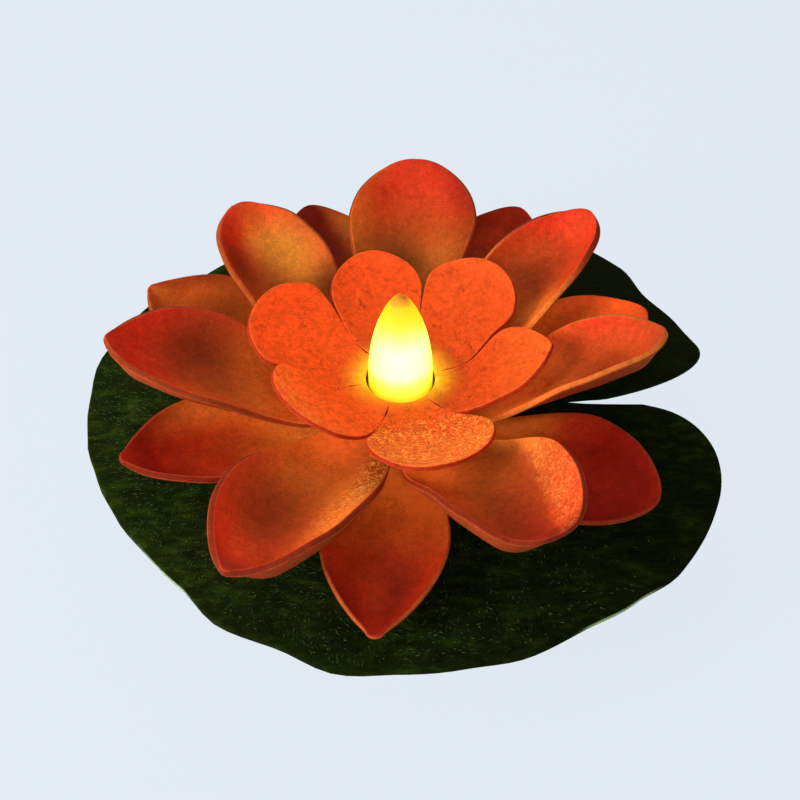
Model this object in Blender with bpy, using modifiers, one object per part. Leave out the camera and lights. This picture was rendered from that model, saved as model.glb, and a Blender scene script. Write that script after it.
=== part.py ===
"""Floating pool light: a water lily of moulded foam on a lily pad, round a flame-shaped LED lamp.

Metres, +Z up. The origin is on the lamp's axis, at the flat underside of its base. The pad's notch points
along +X.
"""

import math

import bmesh
import bpy
from mathutils import Vector
from mathutils.bvhtree import BVHTree

# Clearance between pieces that seat on each other, and facets of a turned piece
GAP = 0.0003
WELD = 0.00001
SEGMENTS = 32
SHARP_ANGLE = 40
CORNER_STEPS = 3

# Foam sheet that the pad and the petal rings are cut from
FOAM = 0.0023
FOAM_CLEARANCE = 0.0003
LIE_CLEARANCE = 0.0004
LIE_PASSES = 4
STEEP_FOAM = 0.4
FLAT = Vector((1, 1, 0))

# Coin cell, its cap and the O-ring on the cap
CELL_RADIUS = 0.0100
CELL_HEIGHT = 0.0032
CELL_STEP = 0.0014
CELL_STEP_HEIGHT = 0.0004
CELL_SIDE_ROOM = 0.0014
CELL_HEADROOM = 0.0022
CAP_RECESS = 0.0004
CAP_HEIGHT = 0.0046
CAP_FLOOR = 0.0020
CAP_WALL = 0.0026
COIN_SLOT_LENGTH = 0.0140
COIN_SLOT_WIDTH = 0.0018
COIN_SLOT_DEPTH = 0.0010
ORING_SECTION = 0.0010
ORING_ROOM = 0.00015
ORING_FROM_END = 0.0010
ORING_STEPS = 6

# Base plate with the threaded collar that takes the cap
PLATE = 0.0026
COLLAR_WALL = 0.0014
EDGE_BREAK = 0.0004

# Slide switch
SLIDER_WIDTH = 0.0042
SLIDER_LENGTH = 0.0060
SLIDER_FLANGE = 0.0010
SLIDER_TRAVEL = 0.0025
THUMB_WIDTH = 0.0030
THUMB_LENGTH = 0.0032
THUMB_RECESS = 0.0005
THUMB_GROOVE = 0.0004
STEM = 0.0014
STEM_IN_SWITCH = 0.0008
SWITCH_LENGTH = 0.0088
SWITCH_WIDTH = 0.0038
SWITCH_HEIGHT = 0.0036
SWITCH_SLOT_ROOM = 0.0006

# Housing, its screw ears and gasket
HOUSING_ROOM = 0.0005
HOUSING_WALL = 0.0016
HOUSING_SHOULDER = 0.0020
DECK = 0.0016
GASKET = 0.0008
GASKET_MARGIN = 0.00015
EAR_RADIUS = 0.0032
EAR_REACH = 0.0018
EAR_CAP = 0.0020
EAR_ANGLES = (90, 210, 330)

# Screws that hold the base plate to the ears
SCREW_RADIUS = 0.0011
SCREW_LENGTH = 0.0080
SCREW_HEAD_RADIUS = 0.0022
SCREW_CROWN_RADIUS = 0.0015
SCREW_HEAD = 0.0010
SCREW_RECESS = 0.0003
SCREW_DRIVE_LENGTH = 0.0026
SCREW_DRIVE_WIDTH = 0.0006
SCREW_DRIVE_DEPTH = 0.0005
SCREW_SEGMENTS = 16

# Circuit board and what stands on it
BOARD = 0.0012
BOARD_ROOM = 0.0007
RESISTOR_LENGTH = 0.0032
RESISTOR_WIDTH = 0.0016
RESISTOR_HEIGHT = 0.0006
RESISTOR_OFFSET = 0.0050
LED_RADIUS = 0.0025
LED_RIM = 0.0004
LED_STEPS = 4
LED_RIM_HEIGHT = 0.0010
LED_HEIGHT = 0.0086
LED_STANDOFF = 0.0092
LEAD_RADIUS = 0.00028
LEAD_PITCH = 0.00254
LEAD_STUB = 0.0006

# Battery contacts of spring strip
STRIP = 0.0003
CONTACT_WIDTH = 0.0032
CONTACT_REACH = 0.0065
CONTACT_PAD = 0.0022
CONTACT_TAIL = 0.0016
CELL_GRIP = 0.0024

# Flame-shaped diffuser, the seal on its flange, the neck around it and the retainer on the neck
FLAME_RADIUS = 0.0092
FLAME_HEIGHT = 0.0315
FLAME_WALL = 0.0011
FLAME_TIP_WALL = 0.0030
FLAME_SWELL = 2.1
FLAME_POINT = 0.7
FLAME_STEPS = 7
FLAME_CROWDING = 1.6
FLAME_OPENING = 0.0011
SKIRT_HEIGHT = 0.0028
FLANGE = 0.0014
FLANGE_LIP = 0.0030
SEAL = 0.0008
NECK_CLEARANCE = 0.0004
NECK_WALL = 0.0014
RETAINER = 0.0014
RETAINER_WIDTH = 0.0037

# Lily pad: radius, the margin's waves about it at even steps round from the notch, and the lift of its edge;
# the two lobes at the notch, as the angle that each takes to round out and how slanted its side is
PAD_RADIUS = 0.0900
PAD_MARGIN = (
    *(0.0044, 0.0044, 0.0006, 0.0055, 0.0040, 0.0020),
    *(0.0000, 0.0000, -0.0020, -0.0065, 0.0000, 0.0010),
    *(0.0000, -0.0010, -0.0046, -0.0048, -0.0030, -0.0018),
    *(-0.0014, 0.0000, -0.0024, 0.0030, 0.0038, 0.0025),
)
PAD_LIFT = (0.0004, 0.0004, -0.0010, 0.0, 0.0008, 0.0, -0.0010, 0.0014, 0.0022, 0.0, 0.0018, 0.0)
PAD_FLAT_RADIUS = 0.0420
NOTCH_ROOT = 0.0300
NOTCH_END = 0.0580
NOTCH_WIDTH = 0.0024
BACK_LOBE = (14, 1.2)
FRONT_LOBE = (23, 0.44)
PAD_COLUMNS = 56
PAD_ROWS = 4
PAD_CROWDING = 0.6
PAD_SPREAD = 0.8

# Petal rings: petals and bearing of the first; hub width, petal length, slit at the hub and space between
# neighbours at their widest; share of the length where they are widest and how they swell to it; height of
# the rim, curl in degrees, and how far neighbours bend as one where they meet
OUTER = {
    "count": 7,
    "bearing": 111,
    "hub": 0.0057,
    "length": 0.0670,
    "slit": 0.0030,
    "spacing": 0.0183,
    "widest_at": 0.55,
    "swell": 1.1,
    "rim": 0.0045,
    "curl": 2,
    "join": 0.0,
}
MIDDLE = {
    "count": 7,
    "bearing": 87,
    "hub": 0.0057,
    "length": 0.0680,
    "slit": 0.0024,
    "spacing": 0.0171,
    "widest_at": 0.58,
    "swell": 0.85,
    "rim": 0.0080,
    "curl": 2,
    "join": 0.0,
}
INNER = {
    "count": 6,
    "bearing": 104,
    "hub": 0.0027,
    "length": 0.0340,
    "slit": 0.0012,
    "spacing": 0.0050,
    "widest_at": 0.56,
    "swell": 0.8,
    "rim": 0.0018,
    "curl": 2,
    "join": 0.9,
}
SLIT_ROOT = 0.0015
PETAL_TIP = 0.0040
RIM_POWER = 3.0
RIM_FROM = 0.12
RIM_RISE = 0.50
RIM_EASE = 0.40
RIM_EASE_FROM = 0.75
TIP_FROM = 0.84
TIP_CROWDING = 1.5
LEAN_SHARE = 0.3
TURN_SHARE = 0.6
SEAM_STEPS = 4
SEAM_ROUND = 20
JOIN_UNTIL = 0.45
PETAL_ROWS = 8
PETAL_COLUMNS = 6

# Each petal as bent by hand: lean and sideways turn in degrees, extra length, breadth, twist in degrees, how
# pointed it is and how deeply it is cupped
OUTER_PETALS = (
    (8.5, 1, -0.0014, 1.0, 0, 0.62, 1.0),
    (11, -5, 0.0, 1.12, 0, 0.74, 1.0),
    (7, -10, -0.0020, 1.0, 0, 0.80, 1.0),
    (4, 0.6, 0.0005, 1.0, 0, 0.92, 1.0),
    (9, 7.5, -0.0015, 1.17, -3, 0.60, 0.8),
    (10.5, 9, -0.0048, 0.9, 0, 0.62, 1.0),
    (10, 2, -0.0003, 1.0, 0, 0.62, 1.0),
)
MIDDLE_PETALS = (
    (22.5, -1, -0.0018, 1.0, 0, 0.54, 1.0),
    (18, -5.3, -0.0022, 0.83, 0, 0.66, 1.25),
    (21, -8, 0.0015, 0.92, -3, 0.72, 1.0),
    (11.5, 0.5, 0.0056, 0.90, 0, 0.74, 1.4),
    (14, 7, -0.0040, 1.0, 0, 0.46, 1.5),
    (27, 11, -0.0065, 0.75, 6, 0.60, 1.0),
    (21, 6.6, -0.0016, 0.74, 6, 0.54, 1.0),
)
INNER_PETALS = (
    (20.5, -1.7, 0.0004, 0.95, 0, 0.54, 1.0),
    (25, -4, 0.0020, 1.0, 0, 0.52, 1.0),
    (30, -11, -0.0050, 1.05, 0, 0.50, 1.0),
    (20, 2.5, -0.0015, 1.1, 0, 0.50, 1.0),
    (28, 12, -0.0020, 0.85, 0, 0.75, 1.0),
    (24, 4, 0.0020, 1.0, 0, 0.52, 1.0),
)

# Radii worked out from the axis outwards
COLLAR_BORE = CELL_RADIUS + CELL_SIDE_ROOM
COLLAR_RADIUS = COLLAR_BORE + COLLAR_WALL
CAP_RADIUS = COLLAR_BORE - GAP
GROOVE_RADIUS = COLLAR_BORE - 2 * ORING_ROOM - ORING_SECTION
SWITCH_BAY = max(SLIDER_WIDTH, SWITCH_WIDTH)
SWITCH_RADIUS = COLLAR_RADIUS + GAP + SWITCH_BAY / 2
SWITCH_REACH = max(SLIDER_LENGTH + SLIDER_TRAVEL, SWITCH_LENGTH) / 2
HOUSING_BORE = math.hypot(SWITCH_RADIUS + SWITCH_BAY / 2, SWITCH_REACH) + HOUSING_ROOM
HOUSING_RADIUS = HOUSING_BORE + HOUSING_WALL
EAR_CIRCLE = HOUSING_RADIUS + EAR_REACH
NECK_BORE = FLAME_RADIUS + NECK_CLEARANCE
NECK_RADIUS = NECK_BORE + NECK_WALL
FLANGE_RADIUS = NECK_BORE + FLANGE_LIP
FOAM_HOLE = NECK_RADIUS + FOAM_CLEARANCE
FLAME_HOLE = FLAME_RADIUS + FLAME_OPENING

# Heights worked out from the base upwards
CAP_TOP = CAP_RECESS + CAP_HEIGHT
CELL_Z = CAP_TOP + GAP
CELL_TOP = CELL_Z + CELL_HEIGHT
COLLAR_TOP = CELL_TOP + CELL_HEADROOM
BOARD_Z = COLLAR_TOP + GAP
BOARD_TOP = BOARD_Z + BOARD
SWITCH_Z = BOARD_Z - GAP - SWITCH_HEIGHT
GASKET_Z = PLATE + GAP
HOUSING_Z = GASKET_Z + GASKET + GAP
SCREW_SEAT = SCREW_RECESS + SCREW_HEAD
SCREW_TIP = SCREW_SEAT + SCREW_LENGTH
SKIRT_Z = BOARD_TOP + GAP
FLANGE_Z = SKIRT_Z + SKIRT_HEIGHT
SEAL_Z = FLANGE_Z + FLANGE + GAP
DECK_Z = SEAL_Z + SEAL + GAP
DECK_TOP = DECK_Z + DECK
LED_Z = BOARD_TOP + LED_STANDOFF
PAD_Z = DECK_TOP + GAP + FOAM / 2
OUTER_Z = PAD_Z + FOAM + GAP
MIDDLE_Z = OUTER_Z + FOAM + GAP
RETAINER_Z = MIDDLE_Z + FOAM / 2 + GAP
NECK_TOP = RETAINER_Z + RETAINER
INNER_Z = NECK_TOP + GAP + FOAM / 2
FLAME_Z = INNER_Z + FOAM / 2
FLAME_TIP = FLAME_Z + FLAME_HEIGHT

for existing in list(bpy.data.objects):
    bpy.data.objects.remove(existing, do_unlink=True)
parts = bpy.data.collections.new("floating_pool_light")
cutters = bpy.data.collections.new("cutters")
for group in (parts, cutters):
    bpy.context.scene.collection.children.link(group)
light_frame = bpy.data.objects.new("light_frame", None)
parts.objects.link(light_frame)


def material(name, color, roughness, metallic=0.0):
    """A Principled material in a piece's own colour."""
    made = bpy.data.materials.new(name)
    made.use_nodes = True
    shader = made.node_tree.nodes["Principled BSDF"]
    shader.inputs["Base Color"].default_value = (*color, 1.0)
    shader.inputs["Roughness"].default_value = roughness
    shader.inputs["Metallic"].default_value = metallic
    return made


def piece(name, data, look, location=(0, 0, 0)):
    """A named sub-part at its place on the light's frame."""
    data.materials.append(look)
    made = bpy.data.objects.new(name, data)
    made.location = location
    made.parent = light_frame
    parts.objects.link(made)
    return made


def tool(name, mesh, location=(0, 0, 0), turn=0.0):
    """A shape that cuts or joins a piece and is no piece itself."""
    made = bpy.data.objects.new(name, mesh)
    made.location = location
    made.rotation_euler.z = turn
    made.hide_render = True
    made.display_type = "WIRE"
    cutters.objects.link(made)
    return made


def combine(target, other, operation):
    step = target.modifiers.new(other.name, "BOOLEAN")
    step.operation = operation
    step.object = other


def finished_mesh(name, shape):
    mesh = bpy.data.meshes.new(name)
    shape.to_mesh(mesh)
    shape.free()
    mesh.shade_smooth()
    mesh.set_sharp_from_angle(angle=math.radians(SHARP_ANGLE))
    return mesh


def block(name, length, width, low, high):
    """A block centred on the axis between two heights."""
    shape = bmesh.new()
    bmesh.ops.create_cube(shape, size=1.0)
    bmesh.ops.scale(shape, vec=(length, width, high - low), verts=shape.verts)
    bmesh.ops.translate(shape, vec=(0, 0, (low + high) / 2), verts=shape.verts)
    return finished_mesh(name, shape)


def rod(name, radius, low, high, segments=SCREW_SEGMENTS):
    """A round bar on the axis between two heights."""
    shape = bmesh.new()
    bmesh.ops.create_cone(
        shape, cap_ends=True, segments=segments, radius1=radius, radius2=radius, depth=high - low
    )
    bmesh.ops.translate(shape, vec=(0, 0, (low + high) / 2), verts=shape.verts)
    return finished_mesh(name, shape)


def turned(name, points, look, closed=True, steps=SEGMENTS):
    """A turned piece, from pairs of radius and height down its outer side and back up its inner one."""
    edges = [(i, i + 1) for i in range(len(points) - 1)]
    if closed:
        edges.append((len(points) - 1, 0))
    mesh = bpy.data.meshes.new(name)
    mesh.from_pydata([(r, 0.0, z) for r, z in points], edges, [])
    made = piece(name, mesh, look)
    screw = made.modifiers.new("turned", "SCREW")
    screw.steps = steps
    screw.render_steps = steps
    screw.use_merge_vertices = True
    screw.merge_threshold = WELD
    return made


def ring_profile(inner, outer, low, high):
    return [(outer, high), (outer, low), (inner, low), (inner, high)]


def arc(centre_r, centre_z, radius, first, last, steps):
    """Points of a round stretch of a profile, between two angles in degrees."""
    angles = [math.radians(first + (last - first) * i / steps) for i in range(steps + 1)]
    return [(centre_r + radius * math.cos(a), centre_z + radius * math.sin(a)) for a in angles]


def around(angle, radius):
    """A place on the ear circle or the like, at an angle in degrees."""
    return (radius * math.cos(math.radians(angle)), radius * math.sin(math.radians(angle)), 0)


def smooth_step(x):
    x = min(max(x, 0.0), 1.0)
    return x * x * (3 - 2 * x)


def lift_off(shape, below, from_radius):
    """Lifts a soft sheet wherever it would dip into the sheet below, as foam lies on foam."""
    bpy.context.view_layer.update()
    graph = bpy.context.evaluated_depsgraph_get()
    lower = BVHTree.FromObject(below, graph)
    down = Vector((0, 0, -1))
    sky = Vector((0, 0, FLAME_TIP + PAD_RADIUS))
    for vert in shape.verts:
        reach = vert.co.xy.length
        if reach <= from_radius:
            continue
        hit = lower.ray_cast(vert.co * FLAT + sky, down)[0]
        if hit:
            slant = 1 + STEEP_FOAM * smooth_step((reach - from_radius) / from_radius)
            vert.co.z = max(vert.co.z, hit.z + FOAM / 2 * slant + LIE_CLEARANCE)
    room = FOAM / 2 * (1 + STEEP_FOAM) + LIE_CLEARANCE
    placed = below.evaluated_get(graph).data.vertices
    corners = [vert.co for vert in placed if vert.co.xy.length > from_radius]
    for _ in range(LIE_PASSES):
        upper = BVHTree.FromBMesh(shape)
        shape.faces.ensure_lookup_table()
        lifts = {}
        for corner in corners:
            hit, _, index, _ = upper.ray_cast(corner * FLAT + sky, down)
            if hit and hit.z < corner.z + room:
                for vert in shape.faces[index].verts:
                    lifts[vert] = max(lifts.get(vert, 0.0), corner.z + room - hit.z)
        for vert, lift in lifts.items():
            if vert.co.xy.length > from_radius:
                vert.co.z += lift


def sheet_mesh(name, grids, below=None, from_radius=0.0):
    """One sheet of mapped grids of points, welded where they share an edge."""
    shape = bmesh.new()
    for rows in grids:
        across, along = len(rows[0]) - 1, len(rows) - 1
        made = bmesh.ops.create_grid(shape, x_segments=across, y_segments=along, size=0.5)
        for vert in made["verts"]:
            column = round((vert.co.x + 0.5) * across)
            row = round((vert.co.y + 0.5) * along)
            vert.co = rows[row][column]
    bmesh.ops.remove_doubles(shape, verts=shape.verts, dist=2 * WELD)
    if below:
        lift_off(shape, below, from_radius)
    bmesh.ops.recalc_face_normals(shape, faces=shape.faces)
    return finished_mesh(name, shape)


def thicken(target, thickness):
    shell = target.modifiers.new("sheet", "SOLIDIFY")
    shell.thickness = thickness
    shell.offset = 0.0
    shell.use_even_offset = True


def lesser(a, b):
    """The smaller of two lengths, with a rounded change from one to the other."""
    return (a**-SEAM_ROUND + b**-SEAM_ROUND) ** (-1 / SEAM_ROUND)


def petal_half_width(ring, hub_radius, point, s):
    """Half a petal's width at the share s of its length, from a swell at the hub to a blunt point."""
    half_pitch = math.pi / ring["count"]
    base = hub_radius * math.tan(half_pitch) - ring["slit"] / 2
    widest_radius = hub_radius + ring["widest_at"] * ring["length"]
    widest = widest_radius * math.tan(half_pitch) - ring["spacing"] / 2
    if s < ring["widest_at"]:
        return base + (widest - base) * math.sin(math.pi / 2 * s / ring["widest_at"]) ** ring["swell"]
    beyond = (s - ring["widest_at"]) / (1 - ring["widest_at"])
    return max(PETAL_TIP / 2, widest * max(0.0, 1 - beyond**2) ** point)


def seam_reach(ring, petals, index, way, hub_radius, azimuth, ahead):
    """How far a petal may reach sideways before the seam with its neighbour that way, 1 or -1."""
    half_pitch = math.pi / ring["count"]
    turn = (petals[index][1] + petals[(index + way) % ring["count"]][1]) / 2
    middle = math.radians(ring["bearing"]) + 2 * half_pitch * index + way * half_pitch
    reach = ahead * math.tan(half_pitch)
    for _ in range(SEAM_STEPS):
        out = math.hypot(ahead, reach) - hub_radius
        seam = middle + math.radians(turn) * smooth_step(out / (TURN_SHARE * ring["length"]))
        reach = ahead * math.tan(way * (seam - azimuth))
    return max(PETAL_TIP / 2, reach - ring["slit"] / 2)


def petal_path(ring, lean, length, height, hub_radius):
    """Share of the length, radius, height and slope at each row of a petal's rise from the hub."""
    radius, z, slope, s = hub_radius, height, 0.0, 0.0
    path = []
    for i in range(PETAL_ROWS + 1):
        s_next = 1 - (1 - i / PETAL_ROWS) ** TIP_CROWDING
        slope_next = math.radians(lean) * smooth_step(s_next / LEAN_SHARE)
        slope_next += math.radians(ring["curl"]) * s_next**3
        radius += length * (s_next - s) * math.cos((slope + slope_next) / 2)
        z += length * (s_next - s) * math.sin((slope + slope_next) / 2)
        slope, s = slope_next, s_next
        path.append((s, radius, z, slope))
    return path


def petal_rows(ring, petals, index, hole, height):
    """A petal's middle surface with its share of the hub, in rows of points from the hole to the tip."""
    lean, turn, extra, breadth, twist, point, cup = petals[index]
    half_pitch = math.pi / ring["count"]
    bearing = math.radians(ring["bearing"]) + 2 * half_pitch * index
    hub_radius = hole + ring["hub"]
    columns = [2 * j / PETAL_COLUMNS - 1 for j in range(PETAL_COLUMNS + 1)]
    rows = []
    for radius in (hole, hub_radius - SLIT_ROOT):
        angles = [bearing + half_pitch * t for t in columns]
        rows.append([Vector((radius * math.cos(a), radius * math.sin(a), height)) for a in angles])
    length = ring["length"] + extra
    joins = []
    for t in columns:
        neighbour = petals[(index + (1 if t > 0 else -1)) % ring["count"]][0]
        bent = lean + (neighbour - lean) / 2 * ring["join"] * t * t
        joins.append(petal_path(ring, bent, length, height, hub_radius))
    for i, (s, *plain) in enumerate(petal_path(ring, lean, length, height, hub_radius)):
        radius, _, slope = plain
        grown = smooth_step(s / ring["widest_at"])
        roll = math.sin(math.radians(twist)) * grown
        rim = cup * ring["rim"] * smooth_step((s - RIM_FROM) / RIM_RISE)
        rim *= 1 - RIM_EASE * smooth_step((s - RIM_EASE_FROM) / (1 - RIM_EASE_FROM))
        tip = smooth_step((s - TIP_FROM) / (1 - TIP_FROM))
        held = 1 - smooth_step((s - JOIN_UNTIL) / (1 - JOIN_UNTIL))
        azimuth = bearing + math.radians(turn) * smooth_step(s / TURN_SHARE)
        ahead = Vector((math.cos(azimuth), math.sin(azimuth), 0))
        side = Vector((-math.sin(azimuth), math.cos(azimuth), 0))
        free = petal_half_width(ring, hub_radius, point, s) * (1 + (breadth - 1) * grown)
        edge = radius - rim * math.sin(slope)
        halves = {}
        for way in (1, -1):
            halves[way] = lesser(free, seam_reach(ring, petals, index, way, hub_radius, azimuth, edge))
        row = []
        for t, joined in zip(columns, joins):
            out, z, tilt = (a + (b - a) * held for a, b in zip(plain, joined[i][1:]))
            offset = halves[1 if t > 0 else -1] * t
            rise = rim * (tip + (1 - tip) * abs(t) ** RIM_POWER) - offset * roll
            place = ahead * (out - rise * math.sin(tilt)) + side * offset
            row.append(place + Vector((0, 0, z + rise * math.cos(tilt))))
        rows.append(row)
    return rows


def petal_ring(name, ring, petals, hole, height, below, look):
    """A ring of petals cut from one foam sheet, lying on the sheet below it."""
    grids = [petal_rows(ring, petals, index, hole, height) for index in range(ring["count"])]
    made = piece(name, sheet_mesh(name, grids, below, hole + ring["hub"]), look)
    thicken(made, FOAM)
    return made


def round_the_pad(values, angle):
    """A smooth value between the ones set at even steps round the pad."""
    place = angle / (2 * math.pi) * len(values)
    share = smooth_step(place % 1.0)
    first = int(place) % len(values)
    return values[first] * (1 - share) + values[(first + 1) % len(values)] * share


def pad_reach(angle):
    """The pad's radius at an angle from its notch: a waved margin whose two lobes round into the notch."""
    reach = PAD_RADIUS + round_the_pad(PAD_MARGIN, angle)
    width, slant = BACK_LOBE if angle < math.pi else FRONT_LOBE
    lobe = min(angle, 2 * math.pi - angle) / math.radians(width)
    if lobe >= 1:
        return reach
    return NOTCH_END + (reach - NOTCH_END) * math.sin(math.pi / 2 * lobe) ** slant


def lily_pad(look):
    """The pad under the flower: one sheet with a hole for the neck and a notch open to its margin."""
    hub_radii = (FOAM_HOLE, (FOAM_HOLE + NOTCH_ROOT) / 2, NOTCH_ROOT)
    rows = []
    for k in range(len(hub_radii) + PAD_ROWS):
        row = []
        for j in range(PAD_COLUMNS + 1):
            share = j / PAD_COLUMNS
            angle = 2 * math.pi * share - PAD_CROWDING * math.sin(2 * math.pi * share)
            slit = 0.0
            if k < len(hub_radii):
                radius = hub_radii[k]
            else:
                outward = ((k - len(hub_radii) + 1) / PAD_ROWS) ** PAD_SPREAD
                radius = NOTCH_ROOT + (pad_reach(angle) - NOTCH_ROOT) * outward
                slit = NOTCH_WIDTH / 2 * ((j == 0) - (j == PAD_COLUMNS))
            flare = smooth_step((radius - PAD_FLAT_RADIUS) / (PAD_RADIUS - PAD_FLAT_RADIUS))
            z = PAD_Z + flare * round_the_pad(PAD_LIFT, angle)
            row.append(Vector((radius * math.cos(angle), radius * math.sin(angle) + slit, z)))
        rows.append(row)
    made = piece("lily_pad", sheet_mesh("lily_pad", [rows]), look)
    thicken(made, FOAM)
    return made


def lamp_housing(look):
    """The cup under the pad, with its deck, the neck up through the foam and three screw ears."""
    corner_r, corner_z = HOUSING_RADIUS - HOUSING_SHOULDER, DECK_TOP - HOUSING_SHOULDER
    made = turned(
        "lamp_housing",
        [
            (NECK_RADIUS, NECK_TOP),
            (NECK_RADIUS, DECK_TOP),
            *arc(corner_r, corner_z, HOUSING_SHOULDER, 90, 0, CORNER_STEPS),
            (HOUSING_RADIUS, HOUSING_Z),
            (HOUSING_BORE, HOUSING_Z),
            (HOUSING_BORE, DECK_Z),
            (NECK_BORE, DECK_Z),
            (NECK_BORE, NECK_TOP),
        ],
        look,
    )
    for angle in EAR_ANGLES:
        place = around(angle, EAR_CIRCLE)
        ear = rod("housing_ear", EAR_RADIUS, HOUSING_Z, SCREW_TIP + GAP + EAR_CAP)
        hole = rod("ear_hole", SCREW_RADIUS + GAP, HOUSING_Z - EAR_CAP, SCREW_TIP + GAP)
        combine(made, tool("housing_ear", ear, place), "UNION")
        combine(made, tool("ear_hole", hole, place), "DIFFERENCE")


def base_plate(look):
    """The plate that closes the housing, with the cap's collar, the ears and the slot of the switch."""
    made = turned(
        "base_plate",
        [
            (COLLAR_RADIUS, COLLAR_TOP),
            (COLLAR_RADIUS, PLATE),
            (HOUSING_RADIUS, PLATE),
            (HOUSING_RADIUS, EDGE_BREAK),
            (HOUSING_RADIUS - EDGE_BREAK, 0.0),
            (COLLAR_BORE, 0.0),
            (COLLAR_BORE, COLLAR_TOP),
        ],
        look,
    )
    seat = SCREW_SEAT + GAP
    for angle in EAR_ANGLES:
        place = around(angle, EAR_CIRCLE)
        combine(made, tool("plate_ear", rod("plate_ear", EAR_RADIUS, 0.0, PLATE), place), "UNION")
        shank = rod("shank_hole", SCREW_RADIUS + GAP, -PLATE, 2 * PLATE)
        combine(made, tool("shank_hole", shank, place), "DIFFERENCE")
        head = rod("head_hole", SCREW_HEAD_RADIUS + GAP, -seat, seat)
        combine(made, tool("head_hole", head, place), "DIFFERENCE")
    slot = block(
        "thumb_slot", THUMB_LENGTH + SLIDER_TRAVEL + 2 * GAP, THUMB_WIDTH + 2 * GAP, -PLATE, 2 * PLATE
    )
    combine(made, tool("thumb_slot", slot, (0, -SWITCH_RADIUS, 0)), "DIFFERENCE")


def base_screws(look):
    """Three pan-head screws with a cross recess, up through the plate into the ears."""
    profile = [
        (0.0, SCREW_TIP),
        (SCREW_RADIUS / 2, SCREW_TIP),
        (SCREW_RADIUS, SCREW_TIP - SCREW_RADIUS),
        (SCREW_RADIUS, SCREW_SEAT),
        (SCREW_HEAD_RADIUS, SCREW_SEAT),
        (SCREW_HEAD_RADIUS, SCREW_RECESS + SCREW_HEAD / 2),
        (SCREW_CROWN_RADIUS, SCREW_RECESS),
        (0.0, SCREW_RECESS),
    ]
    drive_top = SCREW_RECESS + SCREW_DRIVE_DEPTH
    for number, angle in enumerate(EAR_ANGLES, start=1):
        made = turned(f"base_screw_{number}", profile, look, closed=False, steps=SCREW_SEGMENTS)
        made.location = around(angle, EAR_CIRCLE)
        for turn in (0.0, math.pi / 2):
            bar = block("screw_drive", SCREW_DRIVE_LENGTH, SCREW_DRIVE_WIDTH, -drive_top, drive_top)
            combine(made, tool("screw_drive", bar, made.location, turn), "DIFFERENCE")


def battery_cap(look):
    """The screw cap under the cell: a cup with a groove for its O-ring and a slot for a coin."""
    floor = CAP_RECESS + CAP_FLOOR
    groove_low = CAP_RECESS + ORING_FROM_END
    groove_high = groove_low + ORING_SECTION + 2 * ORING_ROOM
    made = turned(
        "battery_cap",
        [
            (0.0, floor),
            (CAP_RADIUS - CAP_WALL, floor),
            (CAP_RADIUS - CAP_WALL, CAP_TOP),
            (CAP_RADIUS, CAP_TOP),
            (CAP_RADIUS, groove_high),
            (GROOVE_RADIUS, groove_high),
            (GROOVE_RADIUS, groove_low),
            (CAP_RADIUS, groove_low),
            (CAP_RADIUS, CAP_RECESS + EDGE_BREAK),
            (CAP_RADIUS - EDGE_BREAK, CAP_RECESS),
            (0.0, CAP_RECESS),
        ],
        look,
        closed=False,
    )
    slot_top = CAP_RECESS + COIN_SLOT_DEPTH
    slot = block("coin_slot", COIN_SLOT_LENGTH, COIN_SLOT_WIDTH, -slot_top, slot_top)
    combine(made, tool("coin_slot", slot), "DIFFERENCE")


def cap_oring(look):
    """The rubber ring in the cap's groove, against the collar's bore."""
    middle = COLLAR_BORE - ORING_ROOM - ORING_SECTION / 2
    z = CAP_RECESS + ORING_FROM_END + ORING_ROOM + ORING_SECTION / 2
    turned("cap_oring", arc(middle, z, ORING_SECTION / 2, 90, -270, ORING_STEPS)[:-1], look)


def coin_cell(look):
    """The cell, its smaller negative face up."""
    step_z = CELL_TOP - CELL_STEP_HEIGHT
    profile = [
        (0.0, CELL_TOP),
        (CELL_RADIUS - CELL_STEP, CELL_TOP),
        (CELL_RADIUS - CELL_STEP, step_z),
        (CELL_RADIUS, step_z),
        (CELL_RADIUS, CELL_Z + EDGE_BREAK),
        (CELL_RADIUS - EDGE_BREAK, CELL_Z),
        (0.0, CELL_Z),
    ]
    turned("coin_cell", profile, look, closed=False)


def contact_strip(name, path, look, turn):
    """A bent strip of spring metal, from pairs of reach and height along its length."""
    half = CONTACT_WIDTH / 2
    rows = [[Vector((x, -half, z)), Vector((x, half, z))] for x, z in path]
    made = piece(name, sheet_mesh(name, [rows]), look)
    made.rotation_euler.z = turn
    thicken(made, STRIP)


def battery_contacts(look):
    """A leaf on the cell's upper face and a strip down its side, both hung from the board."""
    pad_z = BOARD_Z - GAP - STRIP / 2
    low = CELL_TOP + GAP + STRIP / 2
    leaf = [
        (CONTACT_REACH, pad_z),
        (CONTACT_REACH - CONTACT_PAD, pad_z),
        (CONTACT_TAIL / 2, low),
        (-CONTACT_TAIL / 2, low),
        (-CONTACT_TAIL, low + STRIP),
    ]
    contact_strip("negative_contact", leaf, look, math.pi / 2)
    side = CELL_RADIUS + GAP + STRIP / 2
    strip = [(side - CONTACT_PAD, pad_z), (side, pad_z), (side, CELL_TOP - CELL_GRIP)]
    contact_strip("positive_contact", strip, look, 0.0)


def circuit_board(look):
    """The round board on the collar, with two holes for the LED's leads."""
    board = rod("circuit_board", HOUSING_BORE - BOARD_ROOM, BOARD_Z, BOARD_TOP, SEGMENTS)
    made = piece("circuit_board", board, look)
    for x in (-LEAD_PITCH / 2, LEAD_PITCH / 2):
        hole = rod("lead_hole", LEAD_RADIUS + GAP, BOARD_Z - BOARD, BOARD_TOP + BOARD)
        combine(made, tool("lead_hole", hole, (x, 0, 0)), "DIFFERENCE")


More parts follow.
